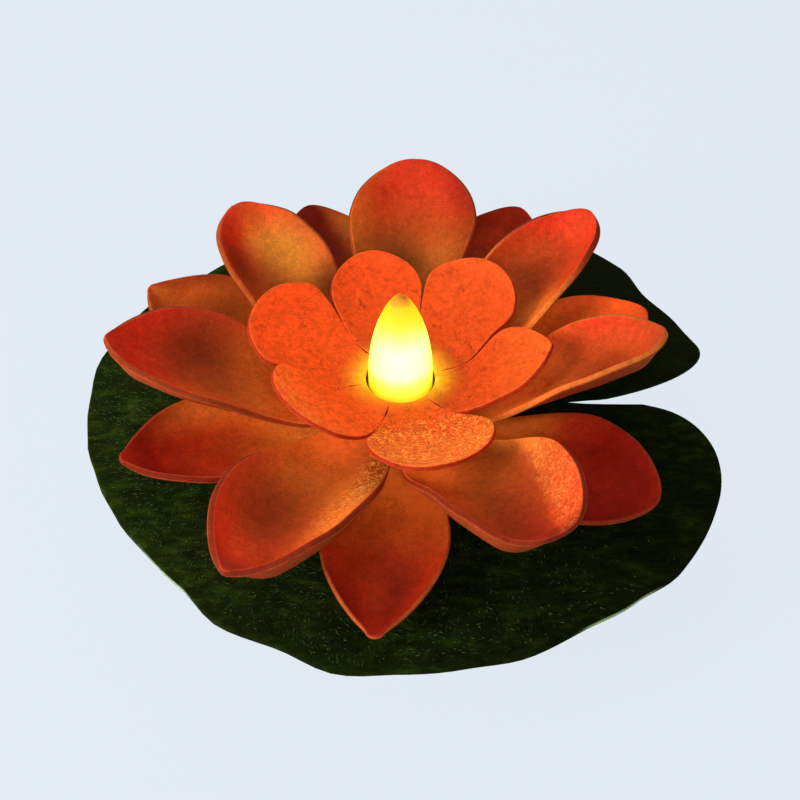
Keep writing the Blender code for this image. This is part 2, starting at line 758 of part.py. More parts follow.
def chip_resistor(look):
    low = BOARD_TOP + GAP
    chip = block("chip_resistor", RESISTOR_LENGTH, RESISTOR_WIDTH, low, low + RESISTOR_HEIGHT)
    piece("chip_resistor", chip, look, (0, RESISTOR_OFFSET, 0))


def led_lead(name, x, look):
    """A wire leg from the LED down through the board."""
    wire = bpy.data.curves.new(name, "CURVE")
    wire.dimensions = "3D"
    wire.bevel_depth = LEAD_RADIUS
    wire.bevel_resolution = 1
    wire.use_fill_caps = True
    spline = wire.splines.new("POLY")
    spline.points.add(1)
    for point, z in zip(spline.points, (BOARD_Z - LEAD_STUB, LED_Z - GAP)):
        point.co = (0.0, 0.0, z, 1.0)
    piece(name, wire, look, (x, 0, 0))


def led_bulb(look):
    """A round-topped LED with a rim at its foot."""
    top = LED_Z + LED_HEIGHT
    foot = LED_RADIUS + LED_RIM
    profile = [
        *arc(0.0, top - LED_RADIUS, LED_RADIUS, 90, 0, LED_STEPS),
        (LED_RADIUS, LED_Z + LED_RIM_HEIGHT),
        (foot, LED_Z + LED_RIM_HEIGHT),
        (foot, LED_Z),
        (0.0, LED_Z),
    ]
    profile[0] = (0.0, top)
    turned("led_bulb", profile, look, closed=False, steps=SCREW_SEGMENTS)


def switch_parts(body_look, slider_look):
    """A slide switch under the board and the slider that works it through the plate, at its lit end."""
    place = (0, -SWITCH_RADIUS, 0)
    body = block("switch_body", SWITCH_LENGTH, SWITCH_WIDTH, SWITCH_Z, SWITCH_Z + SWITCH_HEIGHT)
    body = piece("switch_body", body, body_look, place)
    depth = STEM_IN_SWITCH + SWITCH_SLOT_ROOM
    run = STEM + SLIDER_TRAVEL + 2 * GAP
    way = block("stem_way", run, STEM + 2 * GAP, SWITCH_Z - depth, SWITCH_Z + depth)
    combine(body, tool("stem_way", way, place), "DIFFERENCE")
    flange_z = PLATE + GAP
    inside = flange_z + SLIDER_FLANGE / 2
    place = (-SLIDER_TRAVEL / 2, -SWITCH_RADIUS, 0)
    flange = block("switch_slider", SLIDER_LENGTH, SLIDER_WIDTH, flange_z, flange_z + SLIDER_FLANGE)
    slider = piece("switch_slider", flange, slider_look, place)
    thumb = block("thumb_pad", THUMB_LENGTH, THUMB_WIDTH, THUMB_RECESS, inside)
    combine(slider, tool("thumb_pad", thumb, place), "UNION")
    stem = block("slider_stem", STEM, STEM, inside, SWITCH_Z + STEM_IN_SWITCH)
    combine(slider, tool("slider_stem", stem, place), "UNION")
    for x in (-THUMB_LENGTH / 4, 0.0, THUMB_LENGTH / 4):
        deep = THUMB_RECESS + THUMB_GROOVE
        groove = block("thumb_groove", THUMB_GROOVE, 2 * THUMB_WIDTH, -deep, deep)
        combine(slider, tool("thumb_groove", groove, (place[0] + x, place[1], 0)), "DIFFERENCE")


def flame_side(radius, height):
    """The flame's side from its point down, as pairs of radius and height."""
    points = []
    for i in range(FLAME_STEPS + 1):
        share = 1 - (i / FLAME_STEPS) ** FLAME_CROWDING
        points.append((radius * (1 - share**FLAME_SWELL) ** FLAME_POINT, FLAME_Z + height * share))
    return points


def flame_diffuser(look):
    """The hollow flame, whose skirt stands on the board and whose flange is sealed under the deck."""
    bore = FLAME_RADIUS - FLAME_WALL
    flange_top = FLANGE_Z + FLANGE
    turned(
        "flame_diffuser",
        [
            *flame_side(FLAME_RADIUS, FLAME_HEIGHT),
            (FLAME_RADIUS, flange_top),
            (FLANGE_RADIUS, flange_top),
            (FLANGE_RADIUS, FLANGE_Z),
            (FLAME_RADIUS, FLANGE_Z),
            (FLAME_RADIUS, SKIRT_Z),
            (bore, SKIRT_Z),
            *reversed(flame_side(bore, FLAME_HEIGHT - FLAME_TIP_WALL)),
        ],
        look,
        closed=False,
    )


red_foam = material("outer_foam", (0.50, 0.030, 0.010), 0.85)
orange_foam = material("middle_foam", (0.66, 0.075, 0.014), 0.85)
bright_foam = material("inner_foam", (0.86, 0.085, 0.014), 0.85)
green_flock = material("pad_flock", (0.012, 0.045, 0.008), 0.95)
white_plastic = material("white_plastic", (0.75, 0.75, 0.72), 0.45)
cap_plastic = material("cap_plastic", (0.68, 0.68, 0.66), 0.45)
retainer_plastic = material("retainer_plastic", (0.03, 0.03, 0.03), 0.5)
housing_plastic = material("housing_plastic", (0.03, 0.03, 0.03), 0.5)
flame_plastic = material("flame_plastic", (1.0, 0.86, 0.30), 0.35)
clear_epoxy = material("led_epoxy", (0.95, 0.85, 0.45), 0.1)
rubber = material("seal_rubber", (0.03, 0.03, 0.03), 0.8)
board_green = material("board_laminate", (0.02, 0.16, 0.05), 0.5)
chip_black = material("chip_black", (0.02, 0.02, 0.02), 0.5)
switch_black = material("switch_black", (0.03, 0.03, 0.03), 0.5)
steel = material("steel", (0.60, 0.60, 0.60), 0.3, 1.0)
spring_metal = material("spring_metal", (0.75, 0.66, 0.42), 0.3, 1.0)

pad = lily_pad(green_flock)
outer_ring = petal_ring("outer_petals", OUTER, OUTER_PETALS, FOAM_HOLE, OUTER_Z, pad, red_foam)
middle_ring = petal_ring(
    "middle_petals", MIDDLE, MIDDLE_PETALS, FOAM_HOLE, MIDDLE_Z, outer_ring, orange_foam
)
petal_ring("inner_petals", INNER, INNER_PETALS, FLAME_HOLE, INNER_Z, middle_ring, bright_foam)
retainer_bore = NECK_RADIUS + GAP
turned(
    "neck_retainer",
    ring_profile(retainer_bore, retainer_bore + RETAINER_WIDTH, RETAINER_Z, NECK_TOP),
    retainer_plastic,
)
lamp_housing(housing_plastic)
flame_diffuser(flame_plastic)
turned(
    "diffuser_seal",
    ring_profile(FLAME_RADIUS + GAP, FLANGE_RADIUS - GAP, SEAL_Z, SEAL_Z + SEAL),
    rubber,
)
led_bulb(clear_epoxy)
led_lead("anode_lead", -LEAD_PITCH / 2, steel)
led_lead("cathode_lead", LEAD_PITCH / 2, steel)
circuit_board(board_green)
chip_resistor(chip_black)
switch_parts(switch_black, white_plastic)
battery_contacts(spring_metal)
coin_cell(steel)
base_plate(white_plastic)
turned(
    "base_gasket",
    ring_profile(HOUSING_BORE + GASKET_MARGIN, HOUSING_RADIUS - GASKET_MARGIN, GASKET_Z, GASKET_Z + GASKET),
    rubber,
)
base_screws(steel)
battery_cap(cap_plastic)
cap_oring(rubber)
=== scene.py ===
"""Looks of the floating pool light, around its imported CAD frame: foam petals, flocked pad and lit flame.

Metres, +Z up, in the frame's own axes: the lamp's axis is Z, and the pad's notch points along +X.
"""

import random
from math import copysign, cos, degrees, hypot, pi, radians, sin, sqrt, tan

import bmesh
import bpy
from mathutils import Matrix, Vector, noise
from mathutils.bvhtree import BVHTree
from mathutils.kdtree import KDTree


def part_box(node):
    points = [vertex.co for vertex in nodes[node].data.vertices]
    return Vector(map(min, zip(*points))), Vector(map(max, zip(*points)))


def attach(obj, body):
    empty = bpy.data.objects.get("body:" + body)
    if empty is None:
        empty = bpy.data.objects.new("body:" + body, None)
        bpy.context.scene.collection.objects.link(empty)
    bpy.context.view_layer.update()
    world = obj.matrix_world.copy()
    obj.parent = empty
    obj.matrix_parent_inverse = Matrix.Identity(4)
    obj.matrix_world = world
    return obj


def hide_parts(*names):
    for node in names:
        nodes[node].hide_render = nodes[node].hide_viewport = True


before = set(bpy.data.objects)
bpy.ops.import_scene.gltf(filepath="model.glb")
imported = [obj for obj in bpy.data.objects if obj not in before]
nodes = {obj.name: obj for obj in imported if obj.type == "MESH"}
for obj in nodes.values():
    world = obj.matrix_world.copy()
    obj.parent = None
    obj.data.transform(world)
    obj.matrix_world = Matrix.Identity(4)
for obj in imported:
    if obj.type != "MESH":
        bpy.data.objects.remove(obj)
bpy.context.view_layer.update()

# Foam sheets, as in the CAD: thickness, and the cut edge's round, taper and steps
FOAM = 0.0023
PETAL_EDGE = 0.0004
PAD_EDGE = 0.0009
EDGE_MOST = 0.6
EDGE_TAPER = 0.005
EDGE_SHARES = (0.0, 0.2, 0.55, 1.0)
EDGE_PARTS = 6
WELD = 0.00002
SHEET_FACTS = ("along", "across", "petal")
FOAM_FACTS = ("edge", "side", "emboss", "spray", "yellow", "pale", "painted_shade", "glow")

# How a sheet lies on the one below: room, passes that spread a lift, steepest slant, and its unevenness
LIE_ROOM = 0.0005
LIE_PASSES = 40
LIE_STEEPEST = 0.6
UNEVEN_SIZE = 0.011
UNEVEN_HEIGHT = 0.00025
FLAT = Vector((1, 1, 0))
SKY = Vector((0, 0, 0.2))
DOWN = Vector((0, 0, -1))

# Holes and heights of the middle surfaces
GAP = 0.0003
FOAM_HOLE = 0.0113
FLAME_HOLE = 0.0099
RETAINER_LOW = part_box("neck_retainer")[0].z
RETAINER_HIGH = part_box("neck_retainer")[1].z
MIDDLE_Z = RETAINER_LOW - GAP - FOAM / 2
OUTER_Z = MIDDLE_Z - FOAM - GAP
PAD_Z = OUTER_Z - FOAM - GAP
INNER_Z = RETAINER_HIGH + GAP + FOAM / 2
FLAME_Z = INNER_Z + FOAM / 2

# Lily pad: radius, the margin's waves about it at even steps round from the notch, and the lift of its edge
PAD_RADIUS = 0.09
PAD_MARGIN = (
    0.0044, 0.0044, 0.0023, 0.0006, 0.0042, 0.0046,
    0.004, 0.0025, 0.0015, 0.0, 0.0, -0.0005,
    -0.002, -0.0053, -0.0048, 0.0, 0.0012, 0.0029,
    0.0012, -0.0001, -0.0019, -0.0032, -0.0044, -0.0043,
    -0.0014, -0.0024, -0.0001, -0.0017, -0.0015, 0.0,
    -0.0006, 0.0008, 0.0033, 0.0035, 0.0033, 0.0036,
)
PAD_LIFT = (0.0004, 0.0004, -0.001, 0.0, 0.0008, 0.0, -0.001, 0.0014, 0.0022, 0.0, 0.0018, 0.0)
PAD_FLAT_RADIUS = 0.042
PAD_HUB_RADII = (0.016, 0.021, 0.026)
PAD_HUB_PULL = 0.5
PAD_COLUMNS = 200
PAD_ROWS = 30
PAD_CROWDING = 0.6
PAD_SPREAD = 0.8

# The pad's notch, narrow inside, and the two lobes beside it: their angle in degrees and how round they are
NOTCH_ROOT = 0.03
NOTCH_END = 0.058
NOTCH_WIDTH = 0.0024
NOTCH_NARROW = 0.3
NOTCH_WIDENS_FROM = 0.047
NOTCH_TAPER = 0.008
NOTCH_OPENING = 0.2
BACK_LOBE = (14, 1.05)
FRONT_LOBE = (23, 0.34)

# Each petal as bent by hand: lean and sideways turn in degrees, extra length, breadth, twist in degrees, how
# pointed it is and how deeply it is cupped
OUTER_PETALS = (
    (8.5, 1, -0.0014, 1.0, 0, 0.62, 1.0),
    (11, -5, 0.0, 1.12, 0, 0.74, 1.0),
    (7, -10, -0.002, 1.0, 0, 0.8, 1.0),
    (4, 0.6, 0.0018, 1.0, 0, 0.88, 1.0),
    (9, 6.5, -0.0015, 1.17, -3, 0.6, 0.8),
    (10.5, 9, -0.006, 0.97, 0, 0.62, 1.0),
    (10, 2, -0.0003, 1.0, 0, 0.62, 1.0),
)
MIDDLE_PETALS = (
    (22.5, -1, -0.0018, 1.1, 0, 0.47, 1.0),
    (18, -6.3, -0.0034, 0.86, 0, 0.5, 1.25),
    (20, -6.6, 0.0008, 0.97, -1, 0.72, 1.0),
    (11.5, 0.9, 0.0048, 0.93, 0, 0.78, 1.4),
    (14, 6.0, -0.0042, 0.99, 0, 0.46, 1.5),
    (27, 10.4, -0.0053, 0.75, 6, 0.6, 1.0),
    (20.2, 6.4, -0.0016, 0.79, 7, 0.54, 1.0),
)
INNER_PETALS = (
    (20.5, -0.9, 0.0004, 0.9, 0, 0.54, 1.0),
    (25, -7.2, 0.0018, 1.15, 0, 0.48, 1.0),
    (30, -11, -0.005, 1.05, 0, 0.5, 1.0),
    (20, 2.5, -0.0015, 1.1, 0, 0.5, 1.0),
    (28, 14.5, -0.0004, 0.83, 0, 0.75, 1.0),
    (24, 8, 0.0016, 1.02, 0, 0.52, 1.0),
)

# Petal rings, as in the CAD, with the petals that sway to a side or take up their turn early
OUTER = {
    "petals": OUTER_PETALS, "hole": FOAM_HOLE, "z": OUTER_Z, "seed": 3, "count": 7, "bearing": 111,
    "hub": 0.0057, "length": 0.067, "slit": 0.003, "spacing": 0.0183, "widest_at": 0.55, "swell": 1.1,
    "rim": 0.0045, "join": 0.0, "sway": {}, "early": {},
}
MIDDLE = {
    "petals": MIDDLE_PETALS, "hole": FOAM_HOLE, "z": MIDDLE_Z, "seed": 5, "count": 7, "bearing": 87,
    "hub": 0.0057, "length": 0.068, "slit": 0.0024, "spacing": 0.0171, "widest_at": 0.58, "swell": 0.85,
    "rim": 0.008, "join": 0.0, "sway": {1: 2.5}, "early": {2: 0.3, 5: 0.2, 6: 0.25},
}
INNER = {
    "petals": INNER_PETALS, "hole": FLAME_HOLE, "z": INNER_Z, "seed": 8, "count": 6, "bearing": 104,
    "hub": 0.0027, "length": 0.034, "slit": 0.0001, "spacing": 0.005, "widest_at": 0.56, "swell": 0.8,
    "rim": 0.0018, "join": 0.9, "sway": {}, "early": {},
}
SLIT_ROOT = 0.0015
CURL = 2
TIP_ROUND = 0.0026
TIP_END = 0.0003
RIM_POWER = 3.0
RIM_FROM = 0.12
RIM_RISE = 0.5
RIM_EASE = 0.4
RIM_EASE_FROM = 0.75
TIP_FROM = 0.84
PETAL_ROWS = 40
PETAL_COLUMNS = 18
TIP_CROWDING = 1.8
LEAN_SHARE = 0.3
TURN_SHARE = 0.6
BREADTH_SHARE = 0.3
SEAM_STEPS = 4
SEAM_ROUND = 20
JOIN_UNTIL = 0.45

# How much thinner each sheet is under its cut edge, petal by petal
OUTER_THIN = (0.001, 0.0009, 0.0005, 0.0011, 0.0011, 0.0009, 0.001)
MIDDLE_THIN = (0.001, 0.0006, 0.0005, 0.0004, 0.0007, 0.0005, 0.0003)
INNER_THIN = (0.0008,) * 6
PAD_THIN = (0.0,)

# Petal colour, one value a petal: the red's reach, how yellow, painted shade (below zero: painted light),
# and how pale the cut edge is
OUTER_SPRAY = (0.9, 0.5, 1.0, 1.0, 1.35, 0.62, 0.85)
OUTER_YELLOW = (0.6, 0.6, 0.6, 0.6, 0.3, 0.6, 0.6)
OUTER_YELLOW_END = (0.15, 0.35)
MIDDLE_PALE = (0.1, 0.3, 0.1, 0.0, 0.0, 0.7, 0.9)
OUTER_PALE = (0.1, 0.2, 0.0, 0.4, 0.1, 0.3, 0.1)
OUTER_PAINTED_SHADE = (0.6, 0.25, 0.0, 0.08, 0.2, -0.45, 0.0)
INNER_PAINTED_SHADE = (-0.08, -0.4, -0.48, -0.34, 0.04, 0.04)
INNER_YELLOW = (0.0, 0.0, 0.1, 0.2, 0.12, 0.05)

# Whole rings: the inner ring's painted shade at the base, fading to painted light at the tips about an even
# middle, where its yellow begins and how pale its cut edge is, and the middle ring's redder spray at the
# margins
INNER_SHADE_FADE = 0.6
INNER_SHADE_EVEN = 0.3
INNER_YELLOWS = (0.3, 0.4)
INNER_PALE = 0.05
MARGIN_SPRAY = 0.22
MARGIN_POWER = 3
MARGIN_UNTIL = 0.5

# Spots of painted shade and light, petal by petal, partly the spray's own colour: middle and reach along the
# petal, the same across it, how much painted shade (below zero: painted light) and how much yellower (below
# zero: redder)
# Yellower spots on faces turned to the key light are painted light
WIDE = 9.0
MIDDLE_SPOTS = (
    (
        (0.3, 0.45, 0.0, WIDE, 0.35, 0.4), (0.75, 0.5, -1.1, 0.75, 0.55, 0.0),
        (0.72, 0.4, 1.1, 0.6, -0.3, 0.4), (0.5, 0.32, 0.25, 0.6, 0.42, 0.0),
        (0.44, 0.2, -0.6, 0.4, -0.3, 0.0), (1.0, 0.5, 0.0, WIDE, 0.16, 0.0),
    ),
    (
        (0.69, 0.37, -0.45, 0.9, 0.05, 1.1), (0.84, 0.14, -0.1, 0.45, -0.3, 0.2),
        (0.7, 0.3, -1.1, 0.5, 0.25, 0.0), (0.4, 0.16, -0.8, 0.8, 0.7, 0.0),
        (0.76, 0.26, 0.66, 0.68, 0.6, 0.0),
    ),
    (
        (0.15, 0.38, 0.0, WIDE, -1.0, 0.0), (0.62, 0.26, -0.35, 1.15, 0.52, 0.0),
        (0.76, 0.25, -0.6, 1.0, 0.15, 0.0), (0.55, 0.4, 0.75, 0.55, -0.5, 0.0),
        (0.86, 0.32, -0.1, 1.5, -0.1, -0.5), (1.0, 0.2, 0.0, WIDE, 0.2, 0.0),
    ),
    (
        (0.15, 0.42, -0.5, 1.6, -1.3, 0.0), (0.63, 0.25, -0.35, 0.85, 0.42, 0.0),
        (0.55, 0.36, 0.7, 0.6, -0.85, 0.3), (0.84, 0.15, -0.3, 1.2, -0.15, 0.0),
        (1.0, 0.16, 0.0, WIDE, 0.4, 0.0),
    ),
    (
        (0.2, 0.4, -0.6, 1.4, -1.5, 0.0), (0.48, 0.34, -0.6, 0.6, -0.55, 0.0),
        (0.72, 0.3, -0.1, 0.6, 0.1, 0.0), (1.0, 0.14, 0.8, 0.5, 0.25, 0.0),
        (0.3, 0.34, 1.1, 0.5, -0.7, 0.4), (1.0, 0.14, 0.0, WIDE, 0.35, 0.0),
    ),
    (
        (0.3, 0.3, 0.0, WIDE, -1.2, 0.0), (0.7, 0.2, -0.2, 0.7, 0.35, 0.0),
        (1.0, 0.35, 0.0, WIDE, 0.32, 0.25),
    ),
    ((0.66, 0.28, -0.1, 0.8, 0.36, 0.0), (0.46, 0.22, -0.75, 0.45, -0.5, 0.2)),
)
OUTER_SPOTS = (
    ((0.69, 0.4, -0.8, 0.6, -0.95, 0.7),),
    (
        (0.65, 0.25, -0.4, 1.2, 0.35, 0.0), (0.95, 0.18, -0.1, 0.7, -0.4, 0.3),
        (0.82, 0.2, -1.1, 0.5, 0.4, -0.2),
    ),
    ((0.55, 0.4, -0.9, 0.7, -0.35, 0.45), (0.5, 0.35, 0.15, 0.7, 0.25, 0.0)),
    (
        (0.15, 0.35, 0.0, WIDE, -0.5, 0.0), (0.38, 0.25, 0.65, 0.6, -0.6, 0.1),
        (0.78, 0.24, 0.35, 0.65, 0.45, 0.0), (0.68, 0.25, -0.9, 0.6, -0.35, 0.0),
    ),
    (
        (0.3, 0.25, 0.5, 0.5, -0.8, 0.2), (0.5, 0.5, 1.1, 0.5, 0.3, 0.0),
        (0.75, 0.4, 0.0, WIDE, 0.08, -0.2),
    ),
    ((0.5, 0.25, 0.7, 1.0, 0.3, 0.0), (0.8, 0.2, 1.0, 0.5, -0.25, 0.0)),
    ((0.75, 0.3, 0.8, 0.8, 0.45, 0.0), (0.64, 0.18, 0.2, 0.5, 0.3, 0.0)),
)

# Pressed dashes on inner petals: strength, and where along the petal they begin and how softly
INNER_HATCH = {2: (0.6, 0.6, 0.3), 3: (1.0, 0.05, 0.25)}
NO_HATCH = (0.0, 0.0, 1.0)

# The middle ring's front petal, hatched on its right, and a right-hand one whose pale cut edge ends halfway
FRONT_PETAL = 3
FRONT_HATCH_ACROSS = (0.3, 0.4)
FRONT_HATCH_END = 0.8
FRONT_HATCH_FADE = 0.3
RIGHT_PETAL = 6
PALE_UNTIL = 0.45
PALE_FADE = 0.35

# The front-right petal's steep right wall in painted light, the rest of that petal in painted shade: the
# wall begins at this line across the petal, which leans along it
WALL_PETAL = 4
WALL_START = 1.27
WALL_SLANT = 1.15
WALL_SOFT = 0.16
WALL_ALONG = (0.25, 0.3)
WALL_HATCH = 0.55
WALL_HATCH_ACROSS = (0.25, 0.4)
WALL_LIT_YELLOW = 0.12
WALL_PETAL_SHADE = 0.2
WALL_PAINTED_LIGHT = 0.35

# Painted highlight on stretches of the pad's cut edge, where its rounding catches the light: middle and
# reach in degrees
PAD_EDGE_HIGHLIGHTS = ((226, 8), (307, 9))

# Foam of each ring: colours along the petal, of the painted highlight on its rim, of cut edge and underside,
# and how dark painted shade makes its wrinkles
OUTER_STOPS = [(0.0, (250, 140, 48)), (0.3, (236, 106, 32)), (0.62, (192, 54, 17)), (0.9, (162, 30, 11))]
# The middle ring's darker base is partly its spray and partly painted shade under the inner petals
MIDDLE_STOPS = [(0.0, (160, 68, 20)), (0.4, (172, 78, 24)), (0.72, (200, 72, 26)), (1.0, (230, 60, 32))]
INNER_STOPS = [(0.0, (204, 72, 23)), (0.4, (200, 68, 21)), (0.8, (198, 64, 21)), (1.0, (202, 68, 23))]
FOAM_COLORS = {
    "outer": (OUTER_STOPS, (226, 104, 56), (128, 36, 17), (166, 62, 28), 0.0),
    "middle": (MIDDLE_STOPS, (230, 104, 54), (138, 44, 19), (172, 70, 30), 0.0),
    "inner": (INNER_STOPS, (255, 140, 70), (186, 42, 17), (200, 70, 30), 0.2),
}
YELLOW_FOAM = (224, 136, 46)
RED_FOAM = (204, 22, 16)
PALE_CUT = (242, 128, 50)
# Painted highlight on the pressed dashes, and how much of it they take
HATCH_LIT = (255, 172, 78)
HATCH_CATCH = 0.9

# Foam texture: scales of its noises per metre, what each adds to the bump, and how strong the painted
# highlight on its rim is
SCALE = {"drift": 70, "mottle": 420, "grain": 2600, "felt": 1050, "hatch": 520, "glow": 500}
SCALE |= {"wrinkle": 260, "crease": 150, "patch": 240}
BUMP = {"grain": 0.5, "felt": 1.6, "wrinkle": 2.2, "crease": -1.6, "hatch": 2.0}
NOISE_RANGE = (0.3, 0.7)
NOISE_MIDDLE = 0.5
RIM_HIGHLIGHT = 0.25

# Finishes of the CAD's solids: how much lighter plastic grain is, and how dark metal lines are
GRAIN_LIFT = 6
LINE_TONE = 0.86

# Lamp light on the foam: about the flame on the inner ring, weaker in front, and at the middle petals' bases
GLOW_RADII = (0.0104, 0.0182)
GLOW_COLOR = (255, 190, 36)
GLOW_FALL = 1.5
GLOW_FRONT = 0.2
GLOW_TINT = 0.8
GLOW_STRENGTH = 0.5
GLOW_THROUGH = 0.25
GLOW_UNTIL = 0.7

# Flame, as in the CAD, with its flange and skirt in the housing
FLAME_RADIUS = 0.0092
FLAME_HEIGHT = 0.0315
FLAME_SWELL = 2.1
FLAME_POINT = 0.7
FLAME_WALL = 0.0011
FLAME_TIP_WALL = 0.003
FLAME_STEPS = 40
FLAME_SEGMENTS = 96
FLAME_DIMPLE = 0.0007
FLAME_DIMPLE_RADIUS = 0.0013
SKIRT_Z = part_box("flame_diffuser")[0].z
SKIRT_HEIGHT = 0.0028
FLANGE = 0.0014
FLANGE_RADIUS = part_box("flame_diffuser")[1].x
ON_AXIS = 0.00001
SHARP_ANGLE = 50

# The lit flame from its foot to its tip: white low down, yellow above, brownish at the gate mark
FLAME_STOPS = [
    (0.0, (120, 78, 10)), (0.025, (156, 138, 30)), (0.11, (180, 172, 70)),
    (0.2, (200, 195, 124)), (0.31, (255, 255, 252)), (0.55, (255, 255, 252)),
    (0.66, (206, 204, 164)), (0.74, (172, 170, 84)), (0.83, (162, 159, 38)),
    (0.9, (162, 146, 32)), (0.93, (158, 112, 32)), (0.965, (152, 86, 30)),
    (0.985, (116, 48, 16)), (1.0, (186, 108, 50)),
]
FLAME_BODY = (96, 84, 44)
FLAME_STRENGTH = 2.5
FLAME_COAT_TINT = (1.0, 0.97, 0.4, 1.0)

# Felt of the pad: streaks from dark to worn, painted light towards -X and painted shade towards +X as lit
# from the left, and smooth beside the notch
FELT_STOPS = [(0.3, (14, 18, 3)), (0.52, (26, 36, 6)), (0.72, (46, 64, 12))]
FELT_SMOOTH_SHARE = 0.7
FELT_SMOOTH = (22, 26, 8)
# Colour of the painted highlight on the pad's cut edge
FELT_EDGE_HIGHLIGHT = (176, 192, 140)
FELT_UNDER = (34, 62, 24)

# Flock on the pad: bent fibres with a triangle at the foot and the bend, and a tip
FLOCK_SEED = 7
FLOCK_COUNT = 7000
FLOCK_FROM = 0.038
FLOCK_UNTIL = 1.07
FLOCK_MARGIN = 0.0026
FLOCK_LENGTH = (0.0006, 0.0017)
FLOCK_WIDTH = 0.00009
FLOCK_TALL = 1.2
FLOCK_TAPER = 0.8
FLOCK_SINK = 0.0001
FLOCK_LIFT = (8, 30)
FLOCK_DROOP = (-0.4, 0.5)
FLOCK_SWIRL = 2.2
FLOCK_SWIRL_SIZE = 0.018
FLOCK_COMB = 0.8
FLOCK_DENSITY = 0.34
FLOCK_DENSITY_SWING = 0.66
FLOCK_DENSITY_FROM = 0.4
FLOCK_STOPS = [(0.0, (18, 32, 8)), (0.6, (40, 66, 20)), (1.0, (84, 114, 52))]
FIBRE_FACES = ((0, 1, 2), (0, 3, 4, 1), (1, 4, 5, 2), (2, 5, 3, 0), (3, 6, 4), (4, 6, 5), (5, 6, 3))
FIBRE_POINTS = 7

# Camera, backdrop and floor
LOOK_AT = Vector((0, 0, 0.0318))
CAMERA_DISTANCE = 0.32
CAMERA_ELEVATION = 45.5
FOCAL_PIXELS = 1120
IMAGE_PIXELS = 800
SENSOR = 36.0
SHIFT_PIXELS = (-0.5, -23.0)
BACKGROUND = (227, 236, 245)
WORLD_LIGHT = 0.17
FLOOR_HALF = 3.0
FLOOR_DROP = 0.0002
FLOOR_SEEN = 0.95

# Area lights: place, size and power; and the lamp inside the flame
LIGHTS = {
    "key": ((-0.66, -0.3, 0.36), 0.34, 5.2),
    "front": ((0.05, -0.62, 0.62), 0.36, 2.2),
    "back": ((-0.1, 0.45, 0.7), 0.5, 1.6),
}
LED_POWER = 0.03
LED_COLOR = (1.0, 0.72, 0.3)
LED_RADIUS = 0.006
LED_HEIGHT = 0.017


def opaque(color):
    """A written 0-255 sRGB colour as a shader's socket takes it: linear, with a full alpha."""
    shares = [value / 255 for value in color]
    return *(s / 12.92 if s <= 0.04045 else ((s + 0.055) / 1.055) ** 2.4 for s in shares), 1.0


def smooth_step(x):
    x = min(max(x, 0.0), 1.0)
    return x * x * (3 - 2 * x)


def ramped(value, start, width):
    """0 up to the start and 1 past the width, with a smooth change between."""
    return smooth_step((value - start) / width)


def mixed(a, b, share):
    return a + (b - a) * share


def polar(radius, angle, z=0.0):
    return Vector((radius * cos(angle), radius * sin(angle), z))


def leftward(heading):
    """A level heading turned left by a right angle."""
    return Vector((-heading.y, heading.x, 0))


def placed(name, data):
    """A new object in the scene."""
    made = bpy.data.objects.new(name, data)
    bpy.context.scene.collection.objects.link(made)
    return made


def meshed(name, verts, faces, facts):
    """A smooth new object from points and faces, with named values at its points."""
    mesh = bpy.data.meshes.new(name)
    mesh.from_pydata(verts, [], faces)
    for key, values in facts.items():
        mesh.attributes.new(key, "FLOAT", "POINT").data.foreach_set("value", values)
    mesh.shade_smooth()
    return placed(name, mesh)


